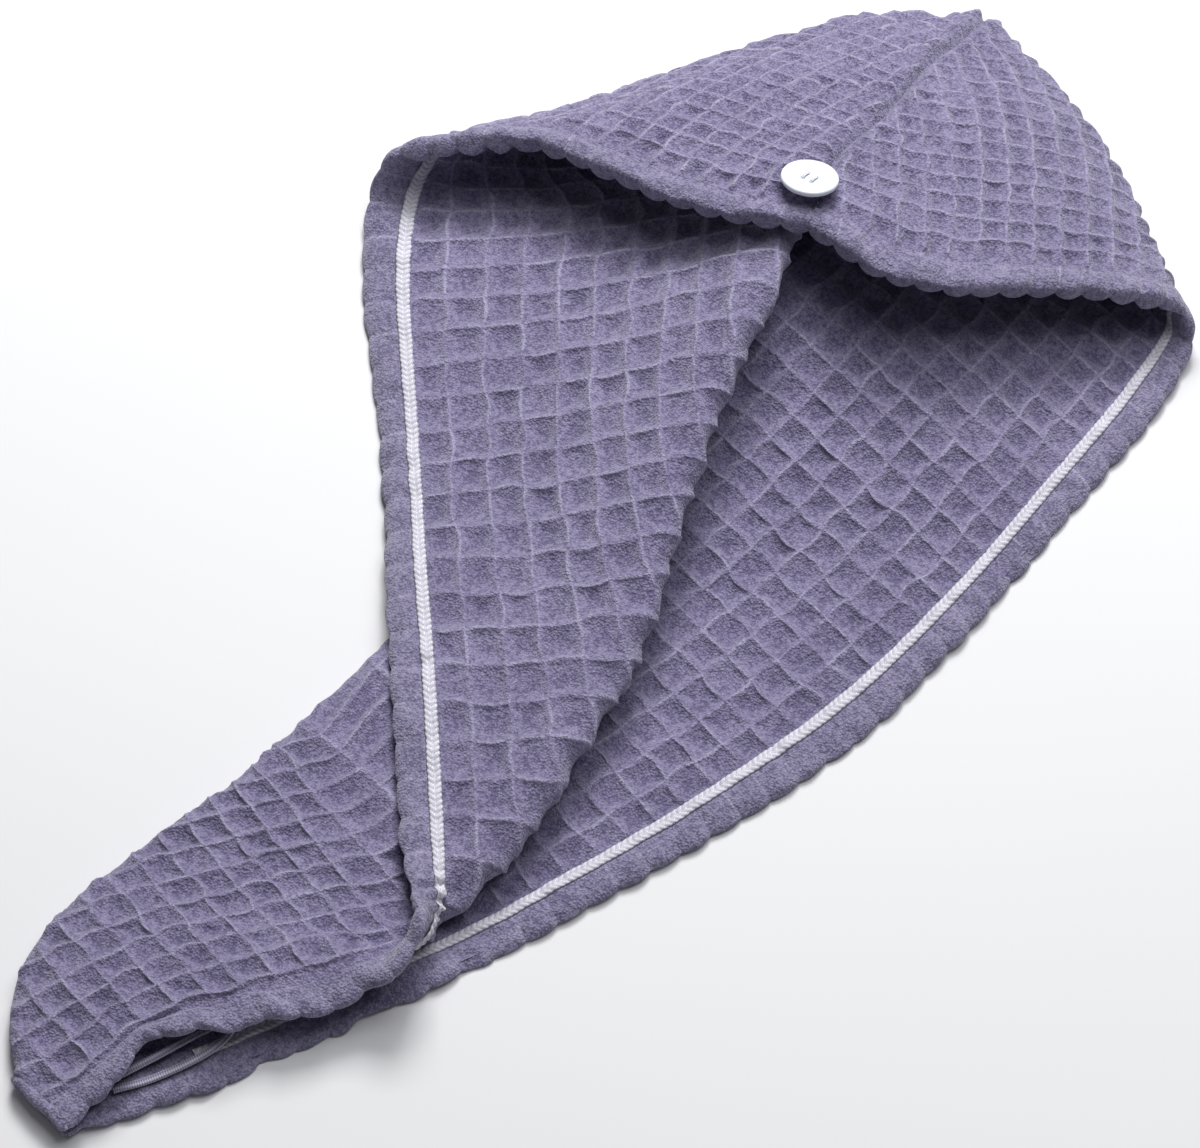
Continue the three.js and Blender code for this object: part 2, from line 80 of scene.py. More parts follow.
# Rows of the section table between which a form begins or ends
FLAP_END = (4.3, 5.2)
SEWN_FLAP_END = (4.5, 6.5)
FLAP_HEM_END = (4.2, 5.6)
TWIST_ROW = 13.9
TAIL_START = (14, 15.5)
TAIL_HEM_START = (14.2, 16)
TAIL_COVER_END = (17.8, 19.2)
TAIL_END = (19.2, 19.9)

# Hem, sewn edges, and the tape on the hem's inner side
FLAP_HEM_SHARE = 0.65
HEM_NARROWEST = 0.55
LIP_DEPTH = 5.0
LOBE_REACH = 1.3
TWIST_HEIGHT = 1.3
RUFFLE_HEIGHT = 1.3
TAIL_COVER = 6.5
SEAM_SINK = 2.2
FLAP_RELIEF = {"left": 1.25, "right": 0.85}
END_ROLL_DIAMETER = 4.6
END_ROLL_SIDES = 14
LOOP_SIDES = 16
TAPE_STEP = 0.45
TAPE_FROM = 11.8
TAPE_TO = 17.2
TAPE_THICKNESS = 1.0
TAPE_STITCH = 2.7

# Button on the nape, its thread, and the elastic loop
BUTTON_DIAMETER = 24.5
BUTTON_THICKNESS = 3.0
BUTTON_RIM = 2.8
BUTTON_DISH = 0.7
BUTTON_HOLE_SPACING = 4.4
BUTTON_HOLE_DIAMETER = 2.0
BUTTON_STAND_OFF = 3.4
BUTTON_TILT = 14.0
BUTTON_TILT_HEADING = 120.0
BUTTON_ROW = 0.51
BUTTON_COLUMN = 5.3
SHANK_DIAMETER = 3.4
LOOP_BAND_WIDTH = 3.2
LOOP_BAND_THICKNESS = 1.3
SHANK_STRANDS = 9
SHANK_STRAND_DIAMETER = 0.9
BAR_STRAND_DIAMETER = 0.56
BAR_STRAND_SPACING = 0.42

# Camera: the photo's view, from 1.5 m away, of a frame 36 mm wide
CAMERA_AZIMUTH = 37.6
CAMERA_ELEVATION = 60.0
CAMERA_DISTANCE = 1.5
CAMERA_TARGET = (0.03435, -0.01342, 0.020)
CAMERA_LENS = 109.8

# One section of the cloth for each row, from the nape over the flap and the crown, down the body and
# along the tail. Places are shares of BODY_WIDTH, BODY_LENGTH and NAPE_HEIGHT.
# A fold is closed at 1, and open at 0 or where it is left out.
SECTIONS = [
    dict(name="nape",
         left_rim=(-0.047, 0.263, 0.95), left_side=(-0.047, 0.263, 0.95), left_mid=(-0.047, 0.263, 0.95),
         left_inner=(-0.047, 0.263, 0.95), seam=(-0.047, 0.263, 0.95), right_inner=(-0.046, 0.263, 0.95),
         right_mid=(-0.046, 0.263, 0.95), right_rim=(-0.046, 0.263, 0.95)),
    dict(name="flap_low",
         left_rim=(-0.162, 0.237, 0.88), left_side=(-0.155, 0.261, 0.89), left_mid=(-0.143, 0.286, 0.90),
         left_inner=(-0.118, 0.307, 0.90), seam=(-0.087, 0.326, 0.89), right_inner=(-0.048, 0.315, 0.89),
         right_mid=(-0.006, 0.302, 0.89), right_rim=(0.067, 0.267, 0.87)),
    dict(name="flap_mid",
         left_rim=(-0.302, 0.227, 0.79), left_side=(-0.263, 0.272, 0.80), left_mid=(-0.217, 0.314, 0.79),
         left_inner=(-0.158, 0.353, 0.76), seam=(-0.090, 0.388, 0.75), right_inner=(-0.029, 0.376, 0.76),
         right_mid=(0.044, 0.350, 0.77), right_rim=(0.154, 0.299, 0.76)),
    dict(name="flap_high",
         left_rim=(-0.449, 0.220, 0.67), left_side=(-0.373, 0.275, 0.67), left_mid=(-0.297, 0.337, 0.64),
         left_inner=(-0.208, 0.398, 0.61), seam=(-0.106, 0.449, 0.59), right_inner=(-0.015, 0.445, 0.59),
         right_mid=(0.087, 0.423, 0.60), right_rim=(0.238, 0.347, 0.61)),
    dict(name="flap_top",
         left_rim=(-0.545, 0.193, 0.53), left_side=(-0.437, 0.273, 0.45), left_mid=(-0.335, 0.377, 0.39),
         left_inner=(-0.240, 0.455, 0.36), seam=(-0.115, 0.510, 0.35), right_inner=(0.001, 0.501, 0.36),
         right_mid=(0.124, 0.474, 0.37), right_rim=(0.309, 0.386, 0.47)),
    dict(name="crown",
         left_rim=(-0.603, 0.172, 0.37), left_side=(-0.480, 0.279, 0.24), left_mid=(-0.348, 0.413, 0.17),
         left_inner=(-0.249, 0.496, 0.16), seam=(-0.126, 0.546, 0.17), right_inner=(0.010, 0.524, 0.17),
         right_mid=(0.146, 0.492, 0.17), right_rim=(0.360, 0.408, 0.29)),
    dict(name="under_crown", crease_fold=0.3, seam_fold=0.3,
         left_rim=(-0.606, 0.151, 0.12), left_side=(-0.449, 0.275, 0.08), left_mid=(-0.258, 0.414, 0.19),
         left_inner=(-0.209, 0.465, 0.15), seam=(-0.139, 0.488, 0.12), right_inner=(-0.037, 0.487, 0.05),
         right_mid=(0.127, 0.461, 0.03), right_rim=(0.389, 0.401, 0.09)),
    dict(name="under_flap", crease_fold=0.8, seam_fold=0.8,
         left_rim=(-0.538, 0.100, 0.05), left_side=(-0.357, 0.235, 0.23), left_mid=(-0.135, 0.335, 0.55),
         left_inner=(-0.131, 0.357, 0.39), seam=(-0.134, 0.380, 0.29), right_inner=(-0.058, 0.364, 0.23),
         right_mid=(0.137, 0.375, 0.16), right_rim=(0.404, 0.340, 0.04)),
    dict(name="below_button", crease_fold=1, seam_fold=1,
         left_rim=(-0.419, 0.034, 0.04), left_side=(-0.236, 0.152, 0.33), left_mid=(-0.054, 0.239, 0.75),
         left_inner=(-0.087, 0.242, 0.57), seam=(-0.123, 0.243, 0.43), right_inner=(-0.035, 0.249, 0.39),
         right_mid=(0.152, 0.265, 0.25), right_rim=(0.401, 0.256, 0.03)),
    dict(name="body_high", crease_fold=1, seam_fold=1,
         left_rim=(-0.303, -0.031, 0.04), left_side=(-0.158, 0.065, 0.29), left_mid=(-0.008, 0.139, 0.61),
         left_inner=(-0.076, 0.130, 0.39), seam=(-0.151, 0.115, 0.20), right_inner=(-0.027, 0.130, 0.17),
         right_mid=(0.173, 0.157, 0.12), right_rim=(0.399, 0.144, 0.03)),
    dict(name="body_mid", crease_fold=1, seam_fold=1,
         left_rim=(-0.194, -0.096, 0.17), left_side=(-0.078, -0.011, 0.29), left_mid=(0.043, 0.060, 0.51),
         left_inner=(-0.068, 0.036, 0.23), seam=(-0.170, 0.007, 0.09), right_inner=(-0.003, 0.046, 0.05),
         right_mid=(0.192, 0.053, 0.05), right_rim=(0.378, 0.028, 0.03)),
    dict(name="body_low", crease_fold=1, seam_fold=1,
         left_rim=(-0.094, -0.154, 0.23), left_side=(0.000, -0.086, 0.29), left_mid=(0.103, -0.025, 0.39),
         left_inner=(-0.034, -0.068, 0.14), seam=(-0.163, -0.110, 0.08), right_inner=(-0.015, -0.076, 0.02),
         right_mid=(0.189, -0.034, 0.03), right_rim=(0.331, -0.064, 0.03)),
    dict(name="waist", crease_fold=1, seam_fold=1,
         left_rim=(-0.022, -0.198, 0.23), left_side=(0.056, -0.154, 0.28), left_mid=(0.130, -0.112, 0.33),
         left_inner=(-0.017, -0.148, 0.13), seam=(-0.171, -0.190, 0.08), right_inner=(-0.001, -0.160, 0.02),
         right_mid=(0.174, -0.131, 0.02), right_rim=(0.285, -0.139, 0.03)),
    dict(name="above_crossing", crease_fold=0.9, seam_fold=1,
         left_rim=(0.046, -0.238, 0.27), left_side=(0.098, -0.217, 0.27), left_mid=(0.148, -0.195, 0.28),
         left_inner=(-0.017, -0.230, 0.14), seam=(-0.188, -0.264, 0.08), right_inner=(-0.011, -0.245, 0.02),
         right_mid=(0.152, -0.215, 0.02), right_rim=(0.245, -0.195, 0.03)),
    dict(name="turn_in", crease_fold=0.85, seam_fold=1,
         left_rim=(0.091, -0.257, 0.35), left_side=(0.113, -0.252, 0.28), left_mid=(0.133, -0.247, 0.21),
         left_inner=(-0.024, -0.260, 0.15), seam=(-0.202, -0.293, 0.08), right_inner=(-0.011, -0.275, 0.02),
         right_mid=(0.140, -0.243, 0.02), right_rim=(0.227, -0.221, 0.03)),
    dict(name="crossing", seam_fold=1,
         left_rim=(0.128, -0.271, 0.41), left_side=(0.128, -0.272, 0.28), left_mid=(0.129, -0.274, 0.16),
         left_inner=(-0.032, -0.290, 0.15), seam=(-0.213, -0.322, 0.08), right_inner=(-0.013, -0.304, 0.02),
         right_mid=(0.124, -0.272, 0.02), right_rim=(0.207, -0.247, 0.03)),
    dict(name="turn_out", seam_fold=1,
         left_rim=(0.139, -0.298, 0.34), left_side=(0.118, -0.297, 0.26), left_mid=(0.097, -0.298, 0.20),
         left_inner=(-0.061, -0.321, 0.16), seam=(-0.224, -0.352, 0.08), right_inner=(-0.057, -0.335, 0.02),
         right_mid=(0.077, -0.307, 0.02), right_rim=(0.178, -0.278, 0.03)),
    dict(name="tail_start", seam_fold=1,
         left_rim=(0.105, -0.327, 0.25), left_side=(0.083, -0.321, 0.26), left_mid=(0.058, -0.314, 0.25),
         left_inner=(-0.089, -0.351, 0.19), seam=(-0.234, -0.381, 0.08), right_inner=(-0.101, -0.366, 0.02),
         right_mid=(0.032, -0.342, 0.02), right_rim=(0.150, -0.308, 0.03)),
    dict(name="tail_mid", seam_fold=1,
         left_rim=(0.036, -0.378, 0.24), left_side=(0.014, -0.372, 0.25), left_mid=(-0.012, -0.364, 0.25),
         left_inner=(-0.120, -0.399, 0.19), seam=(-0.227, -0.435, 0.08), right_inner=(-0.133, -0.423, 0.02),
         right_mid=(-0.020, -0.406, 0.02), right_rim=(0.097, -0.369, 0.03)),
    dict(name="tail_low", seam_fold=1,
         left_rim=(-0.028, -0.426, 0.20), left_side=(-0.052, -0.420, 0.21), left_mid=(-0.078, -0.413, 0.21),
         left_inner=(-0.136, -0.442, 0.16), seam=(-0.185, -0.473, 0.08), right_inner=(-0.133, -0.465, 0.02),
         right_mid=(-0.059, -0.456, 0.02), right_rim=(0.043, -0.426, 0.03)),
    dict(name="tail_end", seam_fold=1,
         left_rim=(-0.046, -0.505, 0.13), left_side=(-0.062, -0.503, 0.12), left_mid=(-0.077, -0.502, 0.12),
         left_inner=(-0.108, -0.500, 0.11), seam=(-0.138, -0.496, 0.07), right_inner=(-0.118, -0.498, 0.02),
         right_mid=(-0.087, -0.500, 0.02), right_rim=(-0.048, -0.503, 0.04)),
]

# Course of the elastic loop, in the same shares
LOOP_COURSE = [
    dict(name="sewn_end", at=(-0.040, -0.465, 0.091)),
    dict(name="lower_strand", at=(-0.013, -0.445, 0.093)),
    dict(name="lower_bend", at=(0.021, -0.405, 0.11)),
    dict(name="far_bend", at=(0.020, -0.388, 0.12)),
    dict(name="upper_bend", at=(0.006, -0.394, 0.12)),
    dict(name="upper_strand", at=(-0.028, -0.435, 0.11)),
    dict(name="upper_end", at=(-0.051, -0.462, 0.091)),
]

# The middle surface of the cloth: row s runs along the towel, column t across it

def place(shares):
    return np.array(shares) * (BODY_WIDTH, BODY_LENGTH, NAPE_HEIGHT)


def unit(vectors):
    return vectors / np.maximum(np.linalg.norm(vectors, axis=-1, keepdims=True), 1e-9)


def lengths_along(path):
    return np.concatenate([[0], np.cumsum(np.linalg.norm(np.diff(path, axis=0), axis=1))])


def fold_points(tip, start, gap, top_drop):
    """Three points of a fold whose two layers lie one above the other."""
    back = tip - unit((tip - start) * (1, 1, 0)) * gap / 2
    up = np.array([0, 0, 1.0])
    return [back + up * top_drop, tip + up * (top_drop - gap / 2), back + up * (top_drop - gap)]


def guide_points(row):
    """Guide points of one section, from the left rim to the right rim."""
    at = {key: place(value) for key, value in row.items() if isinstance(value, tuple)}
    mix = lambda a, b, share: a + (b - a) * share
    left_mid, left_inner, seam = at["left_mid"], at["left_inner"], at["seam"]
    open_crease = [mix(left_mid, at["left_side"], 0.3), left_mid, mix(left_mid, left_inner, 0.3)]
    open_seam = [mix(seam, left_inner, 0.25), seam, mix(seam, at["right_inner"], 0.25)]
    folded_crease = fold_points(left_mid, left_inner, CREASE_GAP, 0)
    folded_seam = fold_points(seam, left_inner, SEAM_GAP, SEAM_GAP / 2)
    crease = [mix(a, b, row.get("crease_fold", 0)) for a, b in zip(open_crease, folded_crease)]
    seam_fold = [mix(a, b, row.get("seam_fold", 0)) for a, b in zip(open_seam, folded_seam)]
    return [at["left_rim"], at["left_side"], *crease, left_inner, *seam_fold,
            at["right_inner"], at["right_mid"], at["right_rim"]]


GUIDES = np.array([guide_points(row) for row in SECTIONS])
LAST_ROW = len(SECTIONS) - 1
LAST_COLUMN = GUIDES.shape[1] - 1
SEAM_COLUMN = 7


def spline(p0, p1, p2, p3, w):
    """Centripetal Catmull-Rom between p1 and p2."""
    step = lambda a, b: np.sqrt(np.linalg.norm(b - a, axis=-1, keepdims=True))
    d1 = step(p1, p2)
    d1 = np.where(d1 < 1e-4, 1.0, d1)
    d0, d2 = step(p0, p1), step(p2, p3)
    d0 = np.where(d0 < 1e-4, d1, d0)
    d2 = np.where(d2 < 1e-4, d1, d2)
    t1 = ((p1 - p0) / d0 - (p2 - p0) / (d0 + d1) + (p2 - p1) / d1) * d1
    t2 = ((p2 - p1) / d1 - (p3 - p1) / (d1 + d2) + (p3 - p2) / d2) * d1
    c2 = -3 * p1 + 3 * p2 - 2 * t1 - t2
    c3 = 2 * p1 - 2 * p2 + t1 + t2
    return p1 + w * (t1 + w * (c2 + w * c3))


def along_spline(point_at, count, x):
    """The spline through count points at places x; point_at(i) gives the points of an index array."""
    i = np.clip(np.floor(x).astype(int), 0, count - 2)
    p1, p2 = point_at(i), point_at(i + 1)
    p0, p3 = point_at(np.maximum(i - 1, 0)), point_at(np.minimum(i + 2, count - 1))
    p0 = np.where((i > 0)[..., None], p0, 2 * p1 - p2)
    p3 = np.where((i < count - 2)[..., None], p3, 2 * p2 - p1)
    return spline(p0, p1, p2, p3, (x - i)[..., None])


def cloth_point(s, t):
    """Points of the surface, for arrays of rows and columns of any one shape."""
    column = lambda c: along_spline(lambda r: GUIDES[r, c], LAST_ROW + 1, s)
    return along_spline(column, LAST_COLUMN + 1, t)


def cloth_normal(s, t):
    ds, dt = 0.05, 0.02
    along = cloth_point(np.minimum(s + ds, LAST_ROW), t) - cloth_point(np.maximum(s - ds, 0), t)
    across = cloth_point(s, np.minimum(t + dt, LAST_COLUMN)) - cloth_point(s, np.maximum(t - dt, 0))
    return unit(np.cross(across, along))


# Each half laid flat, so that its weave can be counted in mm along (u) and in from (v) its rim

ROWS_PER_SECTION = 4
SPAN_STEPS = (7, 6, 2, 2, 5, 6, 2, 2, 6, 6, 6)


def flat_grid(half):
    """Rows and columns of the mesh that is laid flat, its first column on the rim."""
    rows = np.linspace(0, LAST_ROW, LAST_ROW * ROWS_PER_SECTION + 1)
    columns = [t + k / steps for t, steps in enumerate(SPAN_STEPS) for k in range(steps)]
    columns = np.array(columns + [LAST_COLUMN])
    if half == "left":
        return rows, columns[columns <= SEAM_COLUMN]
    return rows, columns[columns >= SEAM_COLUMN][::-1]


NEXT, PREVIOUS = [1, 2, 0], [2, 0, 1]


def flat_start(points):
    """A number for each mesh point and the places to start from, with the rim straight.

    The first row is one point.
    """
    rows, columns = points.shape[:2]
    number = np.maximum(np.arange(rows * columns).reshape(rows, columns) - columns + 1, 0)
    number[0] = 0
    rim_length = lengths_along(points[:, 0])
    across = np.cumsum(np.linalg.norm(np.diff(points, axis=1), axis=2), axis=1)
    start = np.zeros((number.max() + 1, 2))
    start[number[:, 1:].ravel(), 1] = across.ravel()
    start[number.ravel(), 0] = np.repeat(rim_length, columns)
    start[number[:, 0]] = np.stack([rim_length, np.zeros(rows)], 1)
    return number, start


def mesh_triangles(number):
    a, b = number[:-1, :-1].ravel(), number[1:, :-1].ravel()
    c, d = number[1:, 1:].ravel(), number[:-1, 1:].ravel()
    faces = np.stack([a, b, d, b, c, d], 1).reshape(-1, 3)
    return faces[(faces[:, 0] != faces[:, 2]) & (faces[:, 0] != faces[:, 1])]


def laid_by_itself(corners):
    """Each triangle laid flat, its first corner at the origin and its second on the first axis."""
    e1, e2 = corners[:, 1] - corners[:, 0], corners[:, 2] - corners[:, 0]
    length = np.linalg.norm(e1, axis=1)
    local = np.zeros((len(corners), 3, 2))
    local[:, 1, 0] = length
    local[:, 2, 0] = (e1 * e2).sum(1) / length
    local[:, 2, 1] = np.linalg.norm(np.cross(e1, e2), axis=1) / length
    return local


def corner_weights(local):
    """The cotangent at each corner, which is the weight of the side that faces it."""
    to_next, to_previous = local[:, NEXT] - local, local[:, PREVIOUS] - local
    area = to_next[..., 0] * to_previous[..., 1] - to_next[..., 1] * to_previous[..., 0]
    return np.clip((to_next * to_previous).sum(2) / np.maximum(area, 1e-6), 0.02, 20)


def weight_matrix(i, j, weights, count):
    matrix = np.zeros((count, count))
    np.add.at(matrix, (i.ravel(), j.ravel()), -weights.ravel())
    np.add.at(matrix, (j.ravel(), i.ravel()), -weights.ravel())
    matrix[np.arange(count), np.arange(count)] = -matrix.sum(1)
    return matrix


def turned_to_fit(edge, now, weights):
    """The weighted sides of each triangle laid by itself, turned as far as they have turned by now."""
    edge, now = edge @ (1, 1j), now @ (1, 1j)
    turn = (weights * edge.conj() * now).sum(1)
    turned = edge * weights * (turn / np.maximum(np.abs(turn), 1e-9))[:, None]
    return np.stack([turned.real, turned.imag], 2)


def lay_flat(points, rounds=60):
    """Flat places of a mesh of rows and columns that keep its lengths as well as they can."""
    number, flat = flat_start(points)
    count = len(flat)
    spots = np.zeros((count, 3))
    spots[number.ravel()] = points.reshape(-1, 3)
    faces = mesh_triangles(number)
    local = laid_by_itself(spots[faces])
    weights = corner_weights(local)
    i, j = faces[:, NEXT], faces[:, PREVIOUS]
    matrix = weight_matrix(i, j, weights, count)
    rim = np.unique(number[:, 0])
    free = np.setdiff1d(np.arange(count), rim)
    solver = np.linalg.inv(matrix[np.ix_(free, free)])
    held = matrix[np.ix_(free, rim)] @ flat[rim]
    edge = local[:, NEXT] - local[:, PREVIOUS]
    for _ in range(rounds):
        turned = turned_to_fit(edge, flat[i] - flat[j], weights)
        pull = np.zeros((count, 2))
        np.add.at(pull, i.ravel(), turned.reshape(-1, 2))
        np.add.at(pull, j.ravel(), -turned.reshape(-1, 2))
        flat[free] = solver @ (pull[free] - held)
    return flat[number]


class Half:
    """One half of the cloth with its flat pattern."""

    def __init__(self, side):
        self.side = side
        self.rows, self.columns = flat_grid(side)
        s, t = np.meshgrid(self.rows, self.columns, indexing="ij")
        self.flat = lay_flat(cloth_point(s, t))
        self.weave = self.woven(self.flat)
        self.st = np.concatenate([np.stack([s, t], 2), self.flat], 2)

    def woven(self, flat):
        """Places counted in cells of the weave, times CELL, for flat places in mm."""
        sizes = CELL_SIZES[self.side]
        rim = self.flat[:, 0, 0]
        at = [entry["row"] for entry in sizes]
        along = np.interp(self.rows, at, [entry["along"] for entry in sizes])
        inward = np.interp(self.rows, at, [entry["inward"] for entry in sizes])
        count = np.concatenate([[0], np.cumsum(np.diff(rim) * CELL * 2 / (along[1:] + along[:-1]))])
        skew = TAIL_SKEW * np.interp(self.rows, [13, 16], [0, 1]) * (self.side == "left")
        u, v = flat[..., 0], flat[..., 1]
        beyond = np.maximum(u - rim[-1], 0)
        across = v * CELL / np.interp(u, rim, inward)
        return np.stack([np.interp(u, rim, count) + beyond - across * np.interp(u, rim, skew), across], -1)

    def locate(self, map_of, us, vs):
        """Row, column and flat place where the lines us and vs of a map cross, NaN outside the half."""
        found = np.full((len(us), len(vs), 4), np.nan)
        flat, st = map_of.reshape(-1, 2), self.st.reshape(-1, 4)
        for corners in mesh_triangles(np.arange(len(flat)).reshape(map_of.shape[:2])):
            spots, places = flat[corners], st[corners]
            low, high = spots.min(0) - 1e-6, spots.max(0) + 1e-6
            u0, u1 = np.searchsorted(us, [low[0], high[0]])
            v0, v1 = np.searchsorted(vs, [low[1], high[1]])
            ab, ac = spots[1] - spots[0], spots[2] - spots[0]
            area = ab[0] * ac[1] - ab[1] * ac[0]
            if u0 == u1 or v0 == v1 or area < 1e-6:
                continue
            x, y = us[u0:u1, None] - spots[0, 0], vs[None, v0:v1] - spots[0, 1]
            p = ((x * ac[1] - y * ac[0]) / area)[..., None]
            q = ((y * ab[0] - x * ab[1]) / area)[..., None]
            inside = ((p > -1e-6) & (q > -1e-6) & (p + q < 1 + 1e-6))[..., 0]
            value = places[0] + p * (places[1] - places[0]) + q * (places[2] - places[0])
            found[u0:u1, v0:v1][inside] = value[inside]
        return found

    def nearest_edge(self, map_of, spots):
        """The same values where the seam side is nearest to places of a map, and how far away it is."""
        line = np.concatenate([map_of[:, -1], map_of[-1, -2:0:-1]])
        values = np.concatenate([self.st[:, -1], self.st[-1, -2:0:-1]])
        a, edge = line[:-1], np.diff(line, axis=0)
        length = np.maximum((edge ** 2).sum(1), 1e-9)
        share = np.clip(((spots[:, None] - a) * edge).sum(2) / length, 0, 1)
        away = ((a + share[..., None] * edge - spots[:, None]) ** 2).sum(2)
        pick = away.argmin(1)
        share = share[np.arange(len(spots)), pick][:, None]
        return values[pick] * (1 - share) + values[pick + 1] * share, np.sqrt(away.min(1))


# Uneven handwork: smooth noise and one random number per cell, the same on every run

rng = np.random.default_rng(7)
LATTICE = rng.uniform(-1, 1, (8, 64, 64))


def cell_value(channel, i, j):
    return LATTICE[channel % 8, i.astype(int) % 64, (j.astype(int) + 17 * channel) % 64]


def noise(channel, u, v, size):
    """Smooth noise of about -1 to 1 whose bumps are size mm apart."""
    x, y = u / size + 31.7 * channel, v / size + 12.3 * channel
    i, j = np.floor(x), np.floor(y)
    fx, fy = x - i, y - j
    fx, fy = fx * fx * (3 - 2 * fx), fy * fy * (3 - 2 * fy)
    at = lambda a, b: cell_value(channel, i + a, j + b)
    low = at(0, 0) * (1 - fx) + at(1, 0) * fx
    high = at(0, 1) * (1 - fx) + at(1, 1) * fx
    return low * (1 - fy) + high * fy


def rise(x, low, high):
    share = np.clip((x - low) / (high - low), 0, 1)
    return share * share * (3 - 2 * share)


def ridge_offset(x):
    """Distance from the nearest ridge, with its sign, and the number of that ridge."""
    number = np.round(x / CELL)
    return x - number * CELL, number


def ridge_shape(x, y, channel):
    """Crest, bow and lean of the ridges that stand at whole cells of x and run along y."""
    away, number = ridge_offset(x)
    cell = np.floor(y / CELL)
    arch = np.sin(np.pi * (y / CELL - cell))
    bow = RIDGE_BOW * cell_value(channel, number, cell) * arch * np.cos(np.pi * away / CELL) ** 2
    crest = np.exp(-(away / CREST_WIDTH) ** 2)
    tall = 0.75 + 0.45 * cell_value(channel + 1, number, cell) * arch
    lean = RIDGE_LEAN * crest * (0.3 + 0.7 * cell_value(channel + 2, number, cell)) * arch
    return crest * tall, bow + lean


def waffle(u, v):
    """Relief of the weave: its height, the shift of its ridges along u and v, and how near a crest is."""
    crest_u, shift_u = ridge_shape(u, v, 0)
    crest_v, shift_v = ridge_shape(v, u, 3)
    crest = np.maximum(crest_u, crest_v)
    wall = np.minimum(np.abs(ridge_offset(u)[0]), np.abs(ridge_offset(v)[0]))
    cell_u, cell_v = np.floor(u / CELL), np.floor(v / CELL)
    depth = PIT_DEPTH * (0.85 + 0.3 * cell_value(6, cell_u, cell_v))
    tilt = 0.3 * cell_value(7, cell_u, cell_v) * np.sin(2 * np.pi * u / CELL)
    pit = rise(wall, *PIT_WALL)
    return CREST_HEIGHT * crest + depth * (0.5 - pit) + tilt * pit, shift_u, shift_v, crest


def lumps(u, v, s):
    """Slow unevenness of the whole cloth, stronger where it twists."""
    twist = np.exp(-((s - 14.5) / 1.6) ** 2)
    slow = 0.8 * noise(1, u, v, 46) + 0.45 * noise(2, u, v, 19)
    return slow * (1 + 0.8 * twist)


# Meshes

def make_object(name, points, faces):
    """An object from points in the cloth's frame, in mm."""
    points = (np.asarray(points).reshape(-1, 3) - (*FOOTPRINT_CENTRE, 0)) / 1000
    points[:, 2] = np.maximum(points[:, 2], 0.0002)
    mesh = bpy.data.meshes.new(name)
    mesh.from_pydata(points.tolist(), [], np.asarray(faces).tolist())
    mesh.polygons.foreach_set("use_smooth", [True] * len(mesh.polygons))
    mesh.update()
    piece = bpy.data.objects.new(name, mesh)
    bpy.context.collection.objects.link(piece)
    return piece


def give_coordinates(piece, u, v, **values):
    """Writes cloth coordinates, in metres, and values per point for the materials."""
    mesh = piece.data
    corner = np.empty(len(mesh.loops), dtype=int)
    mesh.loops.foreach_get("vertex_index", corner)
    layer = mesh.uv_layers.new(name="weave")
    layer.data.foreach_set("uv", (np.stack([u.ravel(), v.ravel()], 1)[corner] / 1000).ravel())
    for name, numbers in values.items():
        attribute = mesh.attributes.new(name, "FLOAT", "POINT")
        attribute.data.foreach_set("value", numbers.ravel())


def finish_piece(piece, material, slot, *nodes):
    piece.data.materials.append(material)
    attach(piece, "root")
    if nodes:
        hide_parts(*nodes)
    return piece


def grid_faces(shape, keep):
    number = np.arange(shape[0] * shape[1]).reshape(shape)
    faces = np.stack([number[:-1, :-1], number[:-1, 1:], number[1:, 1:], number[1:, :-1]], 2)
    return faces[keep]


def trimmed(faces, count):
    """Faces renumbered to the points that they use, and those points."""
    used = np.unique(faces)
    number = np.full(count, -1)
    number[used] = np.arange(len(used))
    return number[faces], used


def cell_lines(low, high):
    """Lines across the cloth from low to high, close together at the ridges."""
    first, last = math.floor(low / CELL), math.ceil(high / CELL)
    lines = np.array([cell * CELL + step for cell in range(first, last) for step in CELL_STEPS])
    inside = lines[(lines > low + 0.2) & (lines < high - 0.2)]
    return np.concatenate([[low], inside, [high]])


def cloth_at(half, map_of, us, vs):
    """The cloth where lines of a map cross: s, t and flat place, inside or not, and the faces to keep.

    Points outside the half that a kept face needs go to the nearest edge.
    """
    values = half.locate(map_of, us, vs)
    inside = ~np.isnan(values[..., 0])
    keep = inside[:-1, :-1] | inside[1:, :-1] | inside[:-1, 1:] | inside[1:, 1:]
    grid = np.stack(np.meshgrid(us, vs, indexing="ij"), 2)
    values[~inside] = half.nearest_edge(map_of, grid[~inside])[0]
    return values, inside, keep


def directions(points, us, vs):
    """Unit directions along u and along v at the points of a grid."""
    result = []
    for axis, places in ((0, us), (1, vs)):
        step = np.gradient(points, places, axis=axis)
        result.append(step / np.maximum(np.linalg.norm(step, axis=2, keepdims=True), 0.3))
    return result


def edge_distance(half, flat):
    """Distance in mm from flat places to the seam side, up to 30."""
    spots = flat.reshape(-1, 2)
    parts = [spots[first:first + 20000] for first in range(0, len(spots), 20000)]
    away = np.concatenate([half.nearest_edge(half.flat, part)[1] for part in parts])
    return np.minimum(away, 30).reshape(flat.shape[:2])


def hem_share(s, side):
    """How much of its width the hem shows: on the flap and the tail's upper side it is rolled narrower."""
    flap = (1 - FLAP_HEM_SHARE) * (1 - rise(s, *FLAP_HEM_END))
    tail = (1 - HEM_NARROWEST) * rise(s, *TAIL_HEM_START) * (side == "left")
    return 1 - flap - tail


# The two panels: an outer and an inner skin each, with the waffle relief on both

